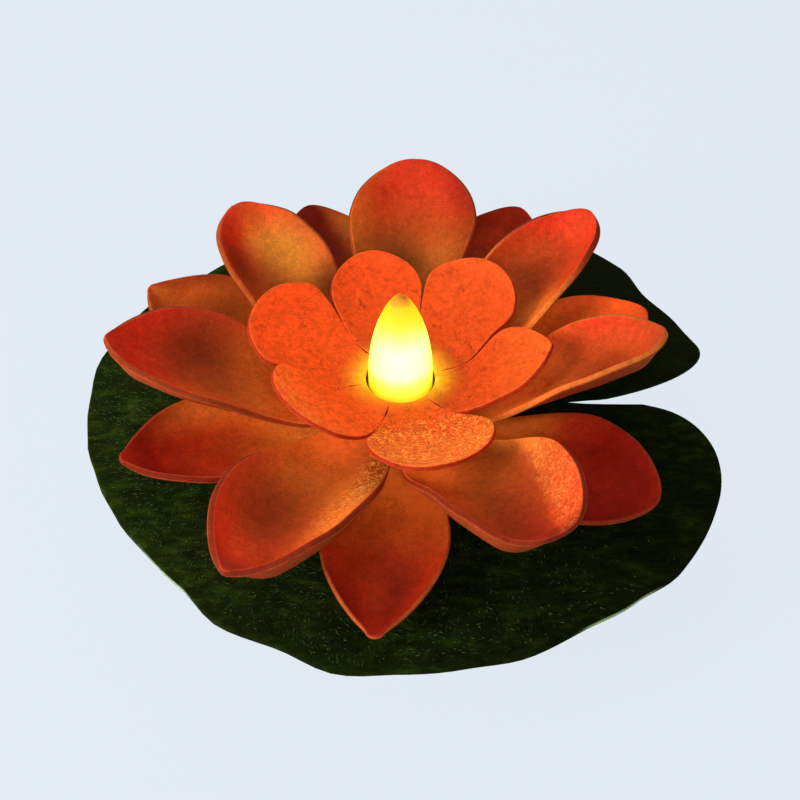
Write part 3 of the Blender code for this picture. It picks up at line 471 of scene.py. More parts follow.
class Look:
    """A procedural material or world, with short calls for the nodes that the looks share."""

    def __init__(self, name, kind=bpy.data.materials):
        self.block = kind.new(name)
        self.block.use_nodes = True
        self.tree = self.block.node_tree
        self.shader = self.tree.nodes.get("Principled BSDF")

    def node(self, kind, **settings):
        made = self.tree.nodes.new("ShaderNode" + kind)
        for name, value in settings.items():
            setattr(made, name, value)
        return made

    def put(self, target, value):
        """Wires an output into a socket, or sets the socket to a plain value."""
        if isinstance(value, bpy.types.NodeSocket):
            self.tree.links.new(value, target)
        else:
            target.default_value = value

    def fill(self, made, **values):
        """Sets a node's sockets, named with underscores for spaces, and gives the node back."""
        for name, value in values.items():
            self.put(made.inputs[name.replace("_", " ")], value)
        return made

    def set(self, **values):
        """Sets sockets of the Principled shader."""
        self.fill(self.shader, **values)

    def fact(self, name):
        return self.node("Attribute", attribute_name=name).outputs["Fac"]

    def place(self, stretch=(1, 1, 1)):
        """The piece's own coordinates, in metres, stretched along an axis."""
        made = self.node("Mapping")
        own = self.node("TexCoord").outputs["Object"]
        return self.fill(made, Scale=stretch, Vector=own).outputs["Vector"]

    def axis(self, name):
        """The piece's own X, Y or Z, in metres."""
        return self.fill(self.node("SeparateXYZ"), Vector=self.place()).outputs[name]

    def noise(self, scale, detail=3.0, roughness=0.55, vector=None, distortion=0.0):
        made = self.node("TexNoise")
        self.fill(made, Vector=vector or self.place(), Scale=scale, Detail=detail)
        return self.fill(made, Roughness=roughness, Distortion=distortion).outputs["Fac"]

    def ridges(self, scale, detail, distortion):
        """A noise folded about its middle, so that it is zero along winding lines."""
        whole = self.noise(scale, detail, roughness=0.5, distortion=distortion)
        return self.math("ABSOLUTE", self.math("SUBTRACT", whole, NOISE_MIDDLE))

    def math(self, operation, a, b=0.0, clamp=False):
        made = self.node("Math", operation=operation, use_clamp=clamp)
        self.put(made.inputs[0], a)
        self.put(made.inputs[1], b)
        return made.outputs[0]

    def times(self, a, b):
        return self.math("MULTIPLY", a, b)

    def layered(self, base, value, share):
        """A base with a share of another value added to it."""
        return self.math("ADD", base, self.times(value, share))

    def span(self, value, low, high, to_low=0.0, to_high=1.0):
        """A value taken from one range to another, held at its ends."""
        made = self.fill(self.node("MapRange", clamp=True), Value=value, From_Min=low, From_Max=high)
        return self.fill(made, To_Min=to_low, To_Max=to_high).outputs["Result"]

    def near_zero(self, value, width):
        """1 where a value is zero, falling to 0 over a width."""
        return self.span(value, 0.0, width, 1.0, 0.0)

    def vary(self, value, low, high):
        """A noise spread between a low and a high value."""
        return self.span(value, *NOISE_RANGE, low, high)

    def ramp(self, value, stops):
        """A colour ramp from pairs of share and written colour."""
        made = self.node("ValToRGB")
        elements = made.color_ramp.elements
        while len(elements) < len(stops):
            elements.new(0.5)
        for element, (share, color) in zip(elements, stops):
            element.position = share
            element.color = opaque(color)
        return self.fill(made, Fac=value).outputs["Color"]

    def mix(self, share, a, b):
        a, b = (value if isinstance(value, bpy.types.NodeSocket) else opaque(value) for value in (a, b))
        made = self.node("Mix", data_type="RGBA")
        return self.fill(made, Factor=share, A=a, B=b).outputs["Result"]

    def tone(self, color, value):
        """A colour made lighter or darker by a value about 1."""
        made = self.node("VectorMath", operation="SCALE")
        return self.fill(made, Vector=color, Scale=value).outputs["Vector"]

    def shaded(self, color, share, tone):
        """A colour darkened to a tone where a share is 1."""
        return self.tone(color, self.span(share, 0.0, 1.0, 1.0, tone))

    def bump(self, height, distance, strength):
        made = self.node("Bump")
        return self.fill(made, Distance=distance, Strength=strength, Height=height).outputs["Normal"]


def sprayed_and_shaded(look, stops):
    """The foam's colour: a fade along the petal with yellower and redder spots, darkened by painted shade,
    lightened where that is below zero as painted light.
    """
    drift = look.vary(look.noise(SCALE["drift"], detail=2), low=-0.06, high=0.06)
    color = look.ramp(look.math("ADD", look.fact("spray"), drift), stops)
    yellow = look.fact("yellow")
    color = look.mix(yellow, color, YELLOW_FOAM)
    color = look.mix(look.math("MULTIPLY", yellow, -1.0, clamp=True), color, RED_FOAM)
    # Painted shade darkens the colour; below zero it is painted light
    return look.tone(color, look.math("SUBTRACT", 1.0, look.fact("painted_shade")))


def crumpled(look, color, height, depth):
    """Adds wrinkles and a few sharp creases to a foam's height, with painted shade darkening its colour in
    the wrinkles' hollows and along the creases, and a little painted light on their rises.
    """
    wrinkle = look.noise(SCALE["wrinkle"], detail=5, roughness=0.62, distortion=2.2)
    color = look.tone(color, look.span(wrinkle, low=0.32, high=0.62, to_low=1.0 - depth, to_high=1.08))
    line = look.near_zero(look.ridges(SCALE["crease"], detail=2, distortion=0.5), width=0.03)
    patch = look.span(look.noise(SCALE["patch"], detail=2), low=0.52, high=0.64)
    crease = look.times(line, patch)
    # Painted shade along the creases
    color = look.shaded(color, crease, tone=0.62)
    height = look.layered(height, wrinkle, BUMP["wrinkle"])
    return color, look.layered(height, crease, BUMP["crease"])


def hatched(look, color, height):
    """Adds pressed dashes: a bump along winding lines, with a painted highlight where they catch the light
    and painted shade on the sunk ground between them.
    """
    cut = look.math("MAXIMUM", look.fact("edge"), look.fact("side"))
    share = look.times(look.fact("emboss"), look.math("SUBTRACT", 1.0, cut))
    line = look.ridges(SCALE["hatch"], detail=1, distortion=1.2)
    lit = look.times(look.near_zero(line, width=0.055), share)
    sunk_shade = look.times(look.span(line, low=0.09, high=0.2), share)
    color = look.mix(look.times(lit, HATCH_CATCH), color, HATCH_LIT)
    # Painted shade on the sunk ground
    color = look.shaded(color, sunk_shade, tone=0.7)
    return color, look.layered(height, lit, BUMP["hatch"])


def lamplit(look, color):
    """Adds the lamp's glow on the foam about the flame, weaker in front and on cut edges."""
    flat = look.fill(look.node("VectorMath", operation="LENGTH"), Vector=look.place(FLAT))
    near = look.math("POWER", look.span(flat.outputs["Value"], *GLOW_RADII, 1.0, 0.0), GLOW_FALL)
    front = look.span(look.axis("Y"), low=-0.012, high=-0.002, to_low=GLOW_FRONT)
    patches = look.vary(look.noise(SCALE["glow"], detail=2), low=0.7, high=1.1)
    uncut = look.span(look.fact("side"), 0.0, 1.0, 1.0, to_high=0.3)
    for share in (front, patches, uncut):
        near = look.times(near, share)
    glow = look.tone(look.mix(near, (0, 0, 0), GLOW_COLOR), near)
    look.set(Emission_Color=glow, Emission_Strength=GLOW_STRENGTH)
    return look.mix(look.times(near, GLOW_TINT), color, GLOW_COLOR)


def petal_foam(name, stops, rim, side, under, creases):
    """Moulded, sprayed foam under painted shade and light, with a painted highlight along its rim, a cut
    edge of its own colour, a plain underside and painted lamp glow.
    """
    look = Look(name)
    grain = look.noise(SCALE["grain"], detail=2, roughness=0.6)
    felt = look.noise(SCALE["felt"], detail=2, roughness=0.6, distortion=1.0)
    mottle = look.vary(look.noise(SCALE["mottle"], detail=4, roughness=0.6), low=0.86, high=1.14)
    color = sprayed_and_shaded(look, stops)
    height = look.layered(look.times(grain, BUMP["grain"]), felt, BUMP["felt"])
    if creases:
        color, height = crumpled(look, color, height, creases)
    color, height = hatched(look, color, height)
    # Painted highlight along the rounded top edge
    color = look.mix(look.times(look.fact("edge"), RIM_HIGHLIGHT), color, rim)
    color = look.mix(look.fact("side"), color, look.mix(look.fact("pale"), side, PALE_CUT))
    color = look.mix(look.fact("under"), color, under)
    color = look.tone(color, look.times(mottle, look.vary(grain, low=0.9, high=1.1)))
    color = look.tone(color, look.vary(felt, low=0.84 + 0.1 * creases, high=1.16))
    if creases:
        color = lamplit(look, color)
    else:
        # Painted lamp light: emission at the middle petals' bases, where the inner petals shade them
        look.set(Emission_Color=look.tone(color, look.fact("glow")), Emission_Strength=1.0)
    look.set(Base_Color=color, Roughness=look.vary(grain, low=0.55, high=0.72), Specular_IOR_Level=0.05)
    look.set(Normal=look.bump(height, distance=0.00012, strength=0.7))
    return look


def sheet_shape(grids):
    """A sheet's middle surface: grids of (place, along, across, petal), welded along shared edges."""
    shape = bmesh.new()
    layers = [shape.verts.layers.float.new(key) for key in SHEET_FACTS]
    for rows in grids:
        made = []
        for row in rows:
            line = []
            for place, *facts in row:
                vert = shape.verts.new(place)
                for layer, fact in zip(layers, facts):
                    vert[layer] = fact
                line.append(vert)
            made.append(line)
        for low, high in zip(made, made[1:]):
            for corners in zip(low, low[1:], high[1:], high):
                shape.faces.new(corners)
    bmesh.ops.remove_doubles(shape, verts=shape.verts, dist=WELD)
    bmesh.ops.recalc_face_normals(shape, faces=shape.faces)
    if sum(face.normal.z for face in shape.faces) < 0:
        bmesh.ops.reverse_faces(shape, faces=shape.faces)
    return shape


def roughen(shape, seed):
    """Small unevenness of hand-bent foam."""
    offset = Vector((seed, 2 * seed, 3 * seed))
    for vert in shape.verts:
        vert.co.z += UNEVEN_HEIGHT * noise.noise(vert.co / UNEVEN_SIZE + offset)


def lift_off(shape, below, from_radius):
    """Lifts a sheet in a smooth swell wherever it would dip into the one below."""
    lower = BVHTree.FromBMesh(below)
    verts = [v for v in shape.verts if v.co.xy.length > from_radius]
    room = FOAM + LIE_ROOM
    needed = dict.fromkeys(verts, 0.0)
    for vert in verts:
        hit, normal, _, _ = lower.ray_cast(vert.co * FLAT + SKY, DOWN)
        if hit:
            slant = 1 / max(abs(normal.z), LIE_STEEPEST)
            needed[vert] = max(0.0, hit.z + room * slant - vert.co.z)
    lift = needed
    for _ in range(LIE_PASSES):
        spread = {}
        for vert in verts:
            around = [lift.get(edge.other_vert(vert), 0.0) for edge in vert.link_edges]
            spread[vert] = max(needed[vert], sum(around) / len(around))
        lift = spread
    for vert in verts:
        vert.co.z += lift[vert]


def boundary_tree(shape):
    """Points along a sheet's cut edge, to measure distances from."""
    points = []
    for edge in shape.edges:
        if edge.is_boundary:
            a, b = (vert.co for vert in edge.verts)
            points.extend(a.lerp(b, step / EDGE_PARTS) for step in range(EDGE_PARTS + 1))
    tree = KDTree(len(points))
    for index, point in enumerate(points):
        tree.insert(point, index)
    tree.balance()
    return tree


def closed_faces(shape):
    """The faces of a sheet's top, of its underside, whose verts come second, and of its cut edge."""
    count = len(shape.verts)
    faces = []
    for face in shape.faces:
        ring = [vert.index for vert in face.verts]
        faces.append(ring)
        faces.append([count + index for index in reversed(ring)])
    for line in shape.edges:
        if line.is_boundary:
            loop = line.link_loops[0]
            a, b = loop.vert.index, loop.link_loop_next.vert.index
            faces.append([b, a, count + a, count + b])
    return faces


def thickened(name, shape, edge, thins, paint):
    """A closed sheet about a middle surface, thin and round at its cut edge, with its foam's facts."""
    shape.normal_update()
    shape.verts.index_update()
    tree = boundary_tree(shape)
    layers = [shape.verts.layers.float[key] for key in SHEET_FACTS]
    tops, bottoms, facts = [], [], []
    for vert in shape.verts:
        along, across, petal = (vert[layer] for layer in layers)
        petal = round(petal)
        reach = tree.find(vert.co)[2]
        rounded = max(0.0, 1 - reach / edge)
        half = FOAM / 2 - edge + edge * sqrt(max(0.0, 1 - rounded**2))
        thin = thins[petal] * (1 - smooth_step(reach / EDGE_TAPER))
        tops.append(vert.co + vert.normal * half)
        bottoms.append(vert.co - vert.normal * (half - thin))
        facts.append((rounded, float(vert.is_boundary), *paint(petal, along, across)))
    faces = closed_faces(shape)
    shape.free()
    values = dict(zip(FOAM_FACTS, zip(*facts)))
    under = [0.0] * len(facts) + [1.0 - side for side in values["side"]]
    return meshed(name, tops + bottoms, faces, {key: values[key] * 2 for key in values} | {"under": under})


def half_pitch(ring):
    return pi / ring["count"]


def petal_bearing(ring, index):
    return radians(ring["bearing"]) + 2 * half_pitch(ring) * index


def neighbour(ring, index, way):
    """The petal beside another one, on the side 1 or -1."""
    return ring["petals"][(index + way) % ring["count"]]


def petal_half_width(ring, length, point, s):
    """Half a petal's width at the share s of its length: a swell from the hub, then a round point."""
    hub_radius = ring["hole"] + ring["hub"]
    base = hub_radius * tan(half_pitch(ring)) - ring["slit"] / 2
    widest_radius = hub_radius + ring["widest_at"] * ring["length"]
    widest = widest_radius * tan(half_pitch(ring)) - ring["spacing"] / 2
    if s < ring["widest_at"]:
        return base + (widest - base) * sin(pi / 2 * s / ring["widest_at"]) ** ring["swell"]
    beyond = (s - ring["widest_at"]) / (1 - ring["widest_at"])
    pointed = widest * max(0.0, 1 - beyond**2) ** point
    to_end = min((1 - s) * length, TIP_ROUND)
    return max(TIP_END, pointed, sqrt(to_end * (2 * TIP_ROUND - to_end)))


def turn_share(ring, index):
    """The share of a petal's length over which it takes up its sideways turn."""
    return ring["early"].get(index % ring["count"], TURN_SHARE)


def seam_reach(ring, index, way, azimuth, ahead):
    """How far a petal can reach before the seam with its neighbour on the side 1 or -1."""
    turn = (ring["petals"][index][1] + neighbour(ring, index, way)[1]) / 2
    middle = petal_bearing(ring, index) + way * half_pitch(ring)
    share = (turn_share(ring, index) + turn_share(ring, index + way)) / 2
    reach = ahead * tan(half_pitch(ring))
    for _ in range(SEAM_STEPS):
        out = hypot(ahead, reach) - (ring["hole"] + ring["hub"])
        seam = middle + radians(turn) * smooth_step(out / (share * ring["length"]))
        reach = ahead * tan(way * (seam - azimuth))
    return max(TIP_END, reach - ring["slit"] / 2)


def lesser(a, b):
    """The smaller of two lengths, with a rounded change from one to the other."""
    return (a**-SEAM_ROUND + b**-SEAM_ROUND) ** (-1 / SEAM_ROUND)


def columns_across(half):
    """Places across a strip from -1 to 1, close together along its two cut edges."""
    edge = min(PETAL_EDGE, EDGE_MOST * half) / half
    inner = 1 - edge
    side = [1 - edge * share for share in EDGE_SHARES]
    middle = [inner * (2 * j / PETAL_COLUMNS - 1) for j in range(1, PETAL_COLUMNS)]
    return [-t for t in side] + middle + side[::-1]


def petal_path(ring, lean, length):
    """Share of its length, radius, height and slope at each row of a petal's rise from the hub."""
    radius, z, slope, s = ring["hole"] + ring["hub"], ring["z"], 0.0, 0.0
    path = []
    for i in range(PETAL_ROWS + 1):
        s_next = 1 - (1 - i / PETAL_ROWS) ** TIP_CROWDING
        slope_next = lean * smooth_step(s_next / LEAN_SHARE) + radians(CURL) * s_next**3
        radius += length * (s_next - s) * cos((slope + slope_next) / 2)
        z += length * (s_next - s) * sin((slope + slope_next) / 2)
        slope, s = slope_next, s_next
        path.append((s, radius, z, slope))
    return path


def hub_rows(ring, index):
    """A petal's share of the flat hub, in rows from the hole to the root of the slits."""
    hole = ring["hole"]
    root = hole + ring["hub"] - SLIT_ROOT
    rows = []
    for radius in [hole + PETAL_EDGE * share for share in EDGE_SHARES] + [(hole + root) / 2, root]:
        row = []
        for t in columns_across(radius * half_pitch(ring)):
            angle = petal_bearing(ring, index) + half_pitch(ring) * t
            row.append((polar(radius, angle, ring["z"]), 0.0, t, index))
        rows.append(row)
    return rows


def rim_height(ring, cup, s):
    """How far a petal's margins stand above its middle line at the share s of its length."""
    rim = cup * ring["rim"] * ramped(s, RIM_FROM, RIM_RISE)
    return rim * (1 - RIM_EASE * ramped(s, RIM_EASE_FROM, 1 - RIM_EASE_FROM))


def petal_azimuth(ring, index, s):
    """The direction in which a petal runs at the share s of its length."""
    turn = radians(ring["petals"][index][1]) * smooth_step(s / turn_share(ring, index))
    sway = radians(ring["sway"].get(index, 0.0)) * sin(pi * s)
    return petal_bearing(ring, index) + turn + sway


def joined_rise(ring, index, length, row, free, t):
    """Radius, height and slope of a place across a petal, drawn to its neighbour's near the seam."""
    if not ring["join"]:
        return free
    lean = ring["petals"][index][0]
    shared = (lean + neighbour(ring, index, 1 if t > 0 else -1)[0]) / 2
    bent = radians(mixed(lean, shared, ring["join"] * t * t))
    s, *joined = petal_path(ring, bent, length)[row]
    held = 1 - ramped(s, JOIN_UNTIL, 1 - JOIN_UNTIL)
    return [mixed(a, b, held) for a, b in zip(free, joined)]


def petal_grid(ring, index):
    """The middle surface of a petal with its share of the hub, in rows from the hole to the tip."""
    lean, _, extra, breadth, twist, point, cup = ring["petals"][index]
    length = ring["length"] + extra
    rows = hub_rows(ring, index)
    for i, (s, *free_rise) in enumerate(petal_path(ring, radians(lean), length)):
        radius, _, slope = free_rise
        rim = rim_height(ring, cup, s)
        tip = ramped(s, TIP_FROM, 1 - TIP_FROM)
        roll = sin(radians(twist)) * smooth_step(s / ring["widest_at"])
        azimuth = petal_azimuth(ring, index, s)
        ahead = polar(1, azimuth)
        side = leftward(ahead)
        free = petal_half_width(ring, length, point, s) * mixed(1, breadth, smooth_step(s / BREADTH_SHARE))
        edge_radius = radius - rim * sin(slope)
        halves = {way: lesser(free, seam_reach(ring, index, way, azimuth, edge_radius)) for way in (1, -1)}
        row = []
        for t in columns_across(max(halves.values())):
            out, z, tilt = joined_rise(ring, index, length, i, free_rise, t)
            offset = halves[1 if t > 0 else -1] * t
            rise = rim * (tip + (1 - tip) * abs(t) ** RIM_POWER) - offset * roll
            place = ahead * (out - rise * sin(tilt)) + side * offset
            row.append((place + Vector((0, 0, z + rise * cos(tilt))), s, t, index))
        rows.append(row)
    return rows


def petal_ring(ring, below):
    """The middle surface of a ring of petals, lying on the sheet below it."""
    shape = sheet_shape([petal_grid(ring, index) for index in range(ring["count"])])
    roughen(shape, ring["seed"])
    lift_off(shape, below, ring["hole"] + ring["hub"])
    return shape


def round_the_pad(values, angle):
    """A smooth value between the ones set at even steps round the pad."""
    place = angle / (2 * pi) * len(values)
    share = smooth_step(place % 1.0)
    first = int(place) % len(values)
    return mixed(values[first], values[(first + 1) % len(values)], share)


def pad_reach(angle):
    """The pad's radius at an angle from its notch, with a round lobe on either side of the notch."""
    reach = PAD_RADIUS + round_the_pad(PAD_MARGIN, angle)
    width, slant = BACK_LOBE if angle < pi else FRONT_LOBE
    lobe = min(angle, 2 * pi - angle) / radians(width)
    if lobe >= 1:
        return reach
    return NOTCH_END + (reach - NOTCH_END) * sin(pi / 2 * lobe) ** slant


def pad_radii(reach):
    """The radii of the pad's rows, from its hole to its margin at a reach."""
    radii = [FOAM_HOLE + PAD_EDGE * share for share in EDGE_SHARES] + list(PAD_HUB_RADII)
    hub = radii[-1]
    for k in range(1, PAD_ROWS):
        out = (k / PAD_ROWS) ** PAD_SPREAD
        radius = NOTCH_ROOT + (reach - PAD_EDGE - NOTCH_ROOT) * out
        radii.append(max(radius - (NOTCH_ROOT - hub) * PAD_HUB_PULL * (1 - out), hub))
    return radii + [reach - PAD_EDGE * share for share in reversed(EDGE_SHARES)]


def notch_slit(radius, angle):
    """How far the notch moves its two sides apart along Y: little inside, more towards the margin."""
    near = min(angle, 2 * pi - angle)
    opening = max(0.0, 1 - near / NOTCH_OPENING) * ramped(radius, NOTCH_ROOT, NOTCH_TAPER)
    widening = ramped(radius, NOTCH_WIDENS_FROM, NOTCH_END - NOTCH_WIDENS_FROM)
    opening *= mixed(NOTCH_NARROW, 1.0, widening)
    return copysign(NOTCH_WIDTH / 2 * opening, pi - angle)


def pad_angle(share):
    """The angle from the notch at a share of the pad's columns, which crowd beside it."""
    return 2 * pi * share - PAD_CROWDING * sin(2 * pi * share)


def pad_shape():
    """The pad's middle surface: one sheet with a hole for the neck and a notch open to its margin."""
    columns = []
    for j in range(PAD_COLUMNS + 1):
        share = j / PAD_COLUMNS
        angle = pad_angle(share)
        column = []
        for radius in pad_radii(pad_reach(angle)):
            flare = ramped(radius, PAD_FLAT_RADIUS, PAD_RADIUS - PAD_FLAT_RADIUS)
            y = radius * sin(angle) + notch_slit(radius, angle)
            place = Vector((radius * cos(angle), y, PAD_Z + flare * round_the_pad(PAD_LIFT, angle)))
            column.append((place, radius / PAD_RADIUS, share, 0))
        columns.append(column)
    return sheet_shape([list(zip(*columns))])


def flame_point(radius, height, share):
    """Radius and height of a flame's outline at a share of its height."""
    return radius * (1 - share**FLAME_SWELL) ** FLAME_POINT, FLAME_Z + height * share


def flame_profile():
    """Radius and height pairs of the flame's section: down outside, under its skirt and up inside."""
    flange_z = SKIRT_Z + SKIRT_HEIGHT
    outside, inside = [], []
    for step in range(FLAME_STEPS + 1):
        radius, z = flame_point(FLAME_RADIUS, FLAME_HEIGHT, cos(pi / 2 * step / FLAME_STEPS))
        outside.append((radius, z - FLAME_DIMPLE * (1 - smooth_step(radius / FLAME_DIMPLE_RADIUS))))
    for step in range(FLAME_STEPS // 2 + 1):
        share = sin(pi / 2 * step / (FLAME_STEPS // 2))
        inside.append(flame_point(FLAME_RADIUS - FLAME_WALL, FLAME_HEIGHT - FLAME_TIP_WALL, share))
    low = [(FLAME_RADIUS, flange_z + FLANGE), (FLANGE_RADIUS, flange_z + FLANGE), (FLANGE_RADIUS, flange_z)]
    low += [(FLAME_RADIUS, flange_z), (FLAME_RADIUS, SKIRT_Z), (FLAME_RADIUS - FLAME_WALL, SKIRT_Z)]
    return outside + low + inside


def turned(name, profile, segments):
    """A closed turned piece from radius and height pairs that begin and end on the axis."""
    verts, rings = [], []
    for radius, z in profile:
        count = 1 if radius < ON_AXIS else segments
        rings.append([len(verts) + step % count for step in range(segments)])
        verts += [polar(radius, 2 * pi * step / segments, z) for step in range(count)]
    faces = []
    for low, high in zip(rings, rings[1:]):
        for step in range(segments):
            after = (step + 1) % segments
            faces.append(list(dict.fromkeys((low[step], high[step], high[after], low[after]))))
    made = meshed(name, verts, faces, {})
    made.data.set_sharp_from_angle(angle=radians(SHARP_ANGLE))
    return made


def slanted(heading, angle):
    """A level heading tilted up by an angle."""
    return heading * cos(angle) + Vector((0, 0, sin(angle)))


def fibre(base, heading, rise, droop, length):
    """The points of a bent fibre: three at its foot, three at its bend and one at its tip."""
    side = leftward(heading) * FLOCK_WIDTH
    up = Vector((0, 0, FLOCK_TALL * FLOCK_WIDTH))
    middle = base + length / 2 * slanted(heading, rise)
    end = middle + length / 2 * slanted(heading, droop)
    foot = [base - side, base + side, base + up]
    return foot + [middle - side * FLOCK_TAPER, middle + side * FLOCK_TAPER, middle + up, end]


def flock(pad):
    """Fibres that stand out of the pad's flock, thickest towards -X, where the felt is in painted light."""
    draw = random.Random(FLOCK_SEED)
    bpy.context.view_layer.update()
    top = BVHTree.FromObject(pad, bpy.context.evaluated_depsgraph_get())
    verts, faces, tints = [], [], []
    while len(tints) < FIBRE_POINTS * FLOCK_COUNT:
        angle = draw.uniform(0, 2 * pi)
        radius = sqrt(draw.uniform(FLOCK_FROM**2, (FLOCK_UNTIL * PAD_RADIUS) ** 2))
        start = polar(radius, angle)
        hit = top.ray_cast(start + SKY, DOWN)[0]
        keep, length, lift, comb, bend, tint = (draw.random() for _ in range(6))
        density = FLOCK_DENSITY - FLOCK_DENSITY_SWING * cos(angle - FLOCK_DENSITY_FROM)
        if not hit or hit.z < PAD_Z or keep > density or radius > pad_reach(angle) - FLOCK_MARGIN:
            continue
        swirl = noise.noise(start / FLOCK_SWIRL_SIZE) * FLOCK_SWIRL + mixed(-FLOCK_COMB, FLOCK_COMB, comb)
        heading = polar(1, angle + swirl)
        rise = radians(mixed(*FLOCK_LIFT, lift))
        droop = rise * mixed(*FLOCK_DROOP, bend)
        base = hit - Vector((0, 0, FLOCK_SINK))
        faces += [[len(verts) + corner for corner in face] for face in FIBRE_FACES]
        verts += fibre(base, heading, rise, droop, mixed(*FLOCK_LENGTH, length))
        tints += [tint] * FIBRE_POINTS
    return meshed("pad_flock", verts, faces, {"tint": tints})


def spotted(spots, along, across):
    """How much painted shade (below zero: painted light) and how much yellow a petal's spots add at a place
    on it.
    """
    painted_shade = yellow = 0.0
    for at, reach, aside, breadth, more_shade, yellower in spots:
        share = smooth_step(1 - abs(along - at) / reach) * smooth_step(1 - abs(across - aside) / breadth)
        painted_shade += more_shade * share
        yellow += yellower * share
    return painted_shade, yellow


def inner_paint(petal, along, _):
    """Pressed dashes on the front inner petal and at the end of its left neighbour, in an even colour under
    painted shade that fades to painted light towards the tips.
    """
    share, *place = INNER_HATCH.get(petal, NO_HATCH)
    painted_shade = INNER_PAINTED_SHADE[petal] + INNER_SHADE_FADE * (INNER_SHADE_EVEN - along)
    yellow = INNER_YELLOW[petal] * ramped(along, *INNER_YELLOWS)
    return share * ramped(along, *place), along, yellow, INNER_PALE, painted_shade, 0.0


def middle_paint(petal, along, across):
    """Red spray at tips and margins, spots of painted shade and light, painted light on the front-right
    petal's wall, hatched walls in front, and painted lamp glow at the bases.
    """
    spray = along + MARGIN_SPRAY * abs(across) ** MARGIN_POWER * smooth_step(along / MARGIN_UNTIL)
    painted_shade, yellow = spotted(MIDDLE_SPOTS[petal], along, across)
    raised, pale = 0.0, MIDDLE_PALE[petal]
    if petal == FRONT_PETAL:
        raised = ramped(across, *FRONT_HATCH_ACROSS) * ramped(-along, -FRONT_HATCH_END, FRONT_HATCH_FADE)
    if petal == WALL_PETAL:
        wall = ramped(across + WALL_SLANT * along, WALL_START, WALL_SOFT) * ramped(along, *WALL_ALONG)
        raised = WALL_HATCH * wall * ramped(across, *WALL_HATCH_ACROSS)
        # Painted light on the wall, as lit from the left, and painted shade on the rest of the petal
        yellow += WALL_LIT_YELLOW * wall
        painted_shade += WALL_PETAL_SHADE - WALL_PAINTED_LIGHT * wall
    if petal == RIGHT_PETAL:
        pale *= 1 - ramped(along, PALE_UNTIL, PALE_FADE)
    return raised, spray, yellow, pale, painted_shade, GLOW_THROUGH * (1 - smooth_step(along / GLOW_UNTIL))


def outer_paint(petal, along, across):
    """Deep red at the tips, less of it along the two petals at the sides of the back, and painted shade and
    light per petal and in spots.
    """
    painted_shade, yellow = spotted(OUTER_SPOTS[petal], along, across)
    yellow += OUTER_YELLOW[petal] * (1 - ramped(along, *OUTER_YELLOW_END))
    return 0.0, along * OUTER_SPRAY[petal], yellow, OUTER_PALE[petal], OUTER_PAINTED_SHADE[petal] + painted_shade, 0.0


def pad_paint(_, along, across):
    """Two stretches of the cut edge with a painted highlight, where its rounding catches the light."""
    turn = degrees(pad_angle(across))
    pale = max(1 - abs(turn - middle) / width for middle, width in PAD_EDGE_HIGHLIGHTS)
    return 0.0, along, 0.0, smooth_step(2 * pale), 0.0, 0.0


def pad_look():
    """Flocked felt: nearly black green with paler worn streaks, in painted light towards -X and painted
    shade towards +X.
    """
    look = Look("pad_felt")
    streak = look.noise(160, detail=5, roughness=0.65, vector=look.place((1, 2.2, 1)), distortion=0.4)
    fibres = look.noise(1500, detail=3, roughness=0.7, vector=look.place((1, 3.0, 1)), distortion=0.8)
    color = look.ramp(streak, FELT_STOPS)
    x, y = look.axis("X"), look.axis("Y")
    # Painted light and shade: lighter towards -X, darker towards +X, as lit from the left
    color = look.tone(color, look.span(x, low=-0.08, high=0.04, to_low=1.3, to_high=0.5))
    smooth = look.times(look.span(x, low=0.02, high=0.05), look.span(y, low=0.0, high=0.02))
    color = look.mix(look.times(smooth, FELT_SMOOTH_SHARE), color, FELT_SMOOTH)
    # Painted highlight on stretches of the cut edge
    pale = look.times(look.fact("side"), look.fact("pale"))
    color = look.mix(pale, color, FELT_EDGE_HIGHLIGHT)
    color = look.mix(look.fact("under"), color, FELT_UNDER)
    color = look.tone(color, look.vary(fibres, low=0.55, high=1.6))
    look.set(Base_Color=color, Roughness=0.9, Specular_IOR_Level=0.02)
    look.set(Normal=look.bump(fibres, distance=0.0003, strength=0.8))
    return look


def flock_look():
    """Fibres from dark to pale green."""
    look = Look("flock_fibre")
    color = look.ramp(look.fact("tint"), FLOCK_STOPS)
    rough = look.vary(look.noise(900), low=0.6, high=0.85)
    look.set(Base_Color=color, Roughness=rough, Specular_IOR_Level=0.25)
    return look


def flame_look():
    """Milky plastic lit from inside, under a thin coat of yellow."""
    look = Look("flame_glow")
    share = look.span(look.axis("Z"), FLAME_Z - FOAM, FLAME_Z + FLAME_HEIGHT)
    waver = look.vary(look.noise(160, detail=1), low=-0.02, high=0.02)
    glow = look.ramp(look.math("ADD", share, waver), FLAME_STOPS)
    look.set(Base_Color=opaque(FLAME_BODY), Emission_Color=glow, Emission_Strength=FLAME_STRENGTH)
    look.set(Roughness=look.vary(look.noise(500), low=0.5, high=0.65), Specular_IOR_Level=0.1)
    look.set(Coat_Weight=1.0, Coat_Roughness=0.3, Coat_IOR=1.1, Coat_Tint=FLAME_COAT_TINT)
    return look


def plastic_look(name, color, roughness, grain=1800, depth=0.00003):
    """Moulded plastic with a fine grain and a slight drift of tone."""
    look = Look(name)
    fine = look.noise(grain, detail=3)
    drift = look.vary(look.noise(45, detail=2), low=0.94, high=1.05)
    lighter = [min(255, value + GRAIN_LIFT) for value in color]
    look.set(Base_Color=look.tone(look.mix(fine, color, lighter), drift), Specular_IOR_Level=0.45)
    look.set(Roughness=look.vary(look.noise(350, detail=4), low=roughness - 0.06, high=roughness + 0.08))
    look.set(Normal=look.bump(fine, depth, strength=0.6))
    return look


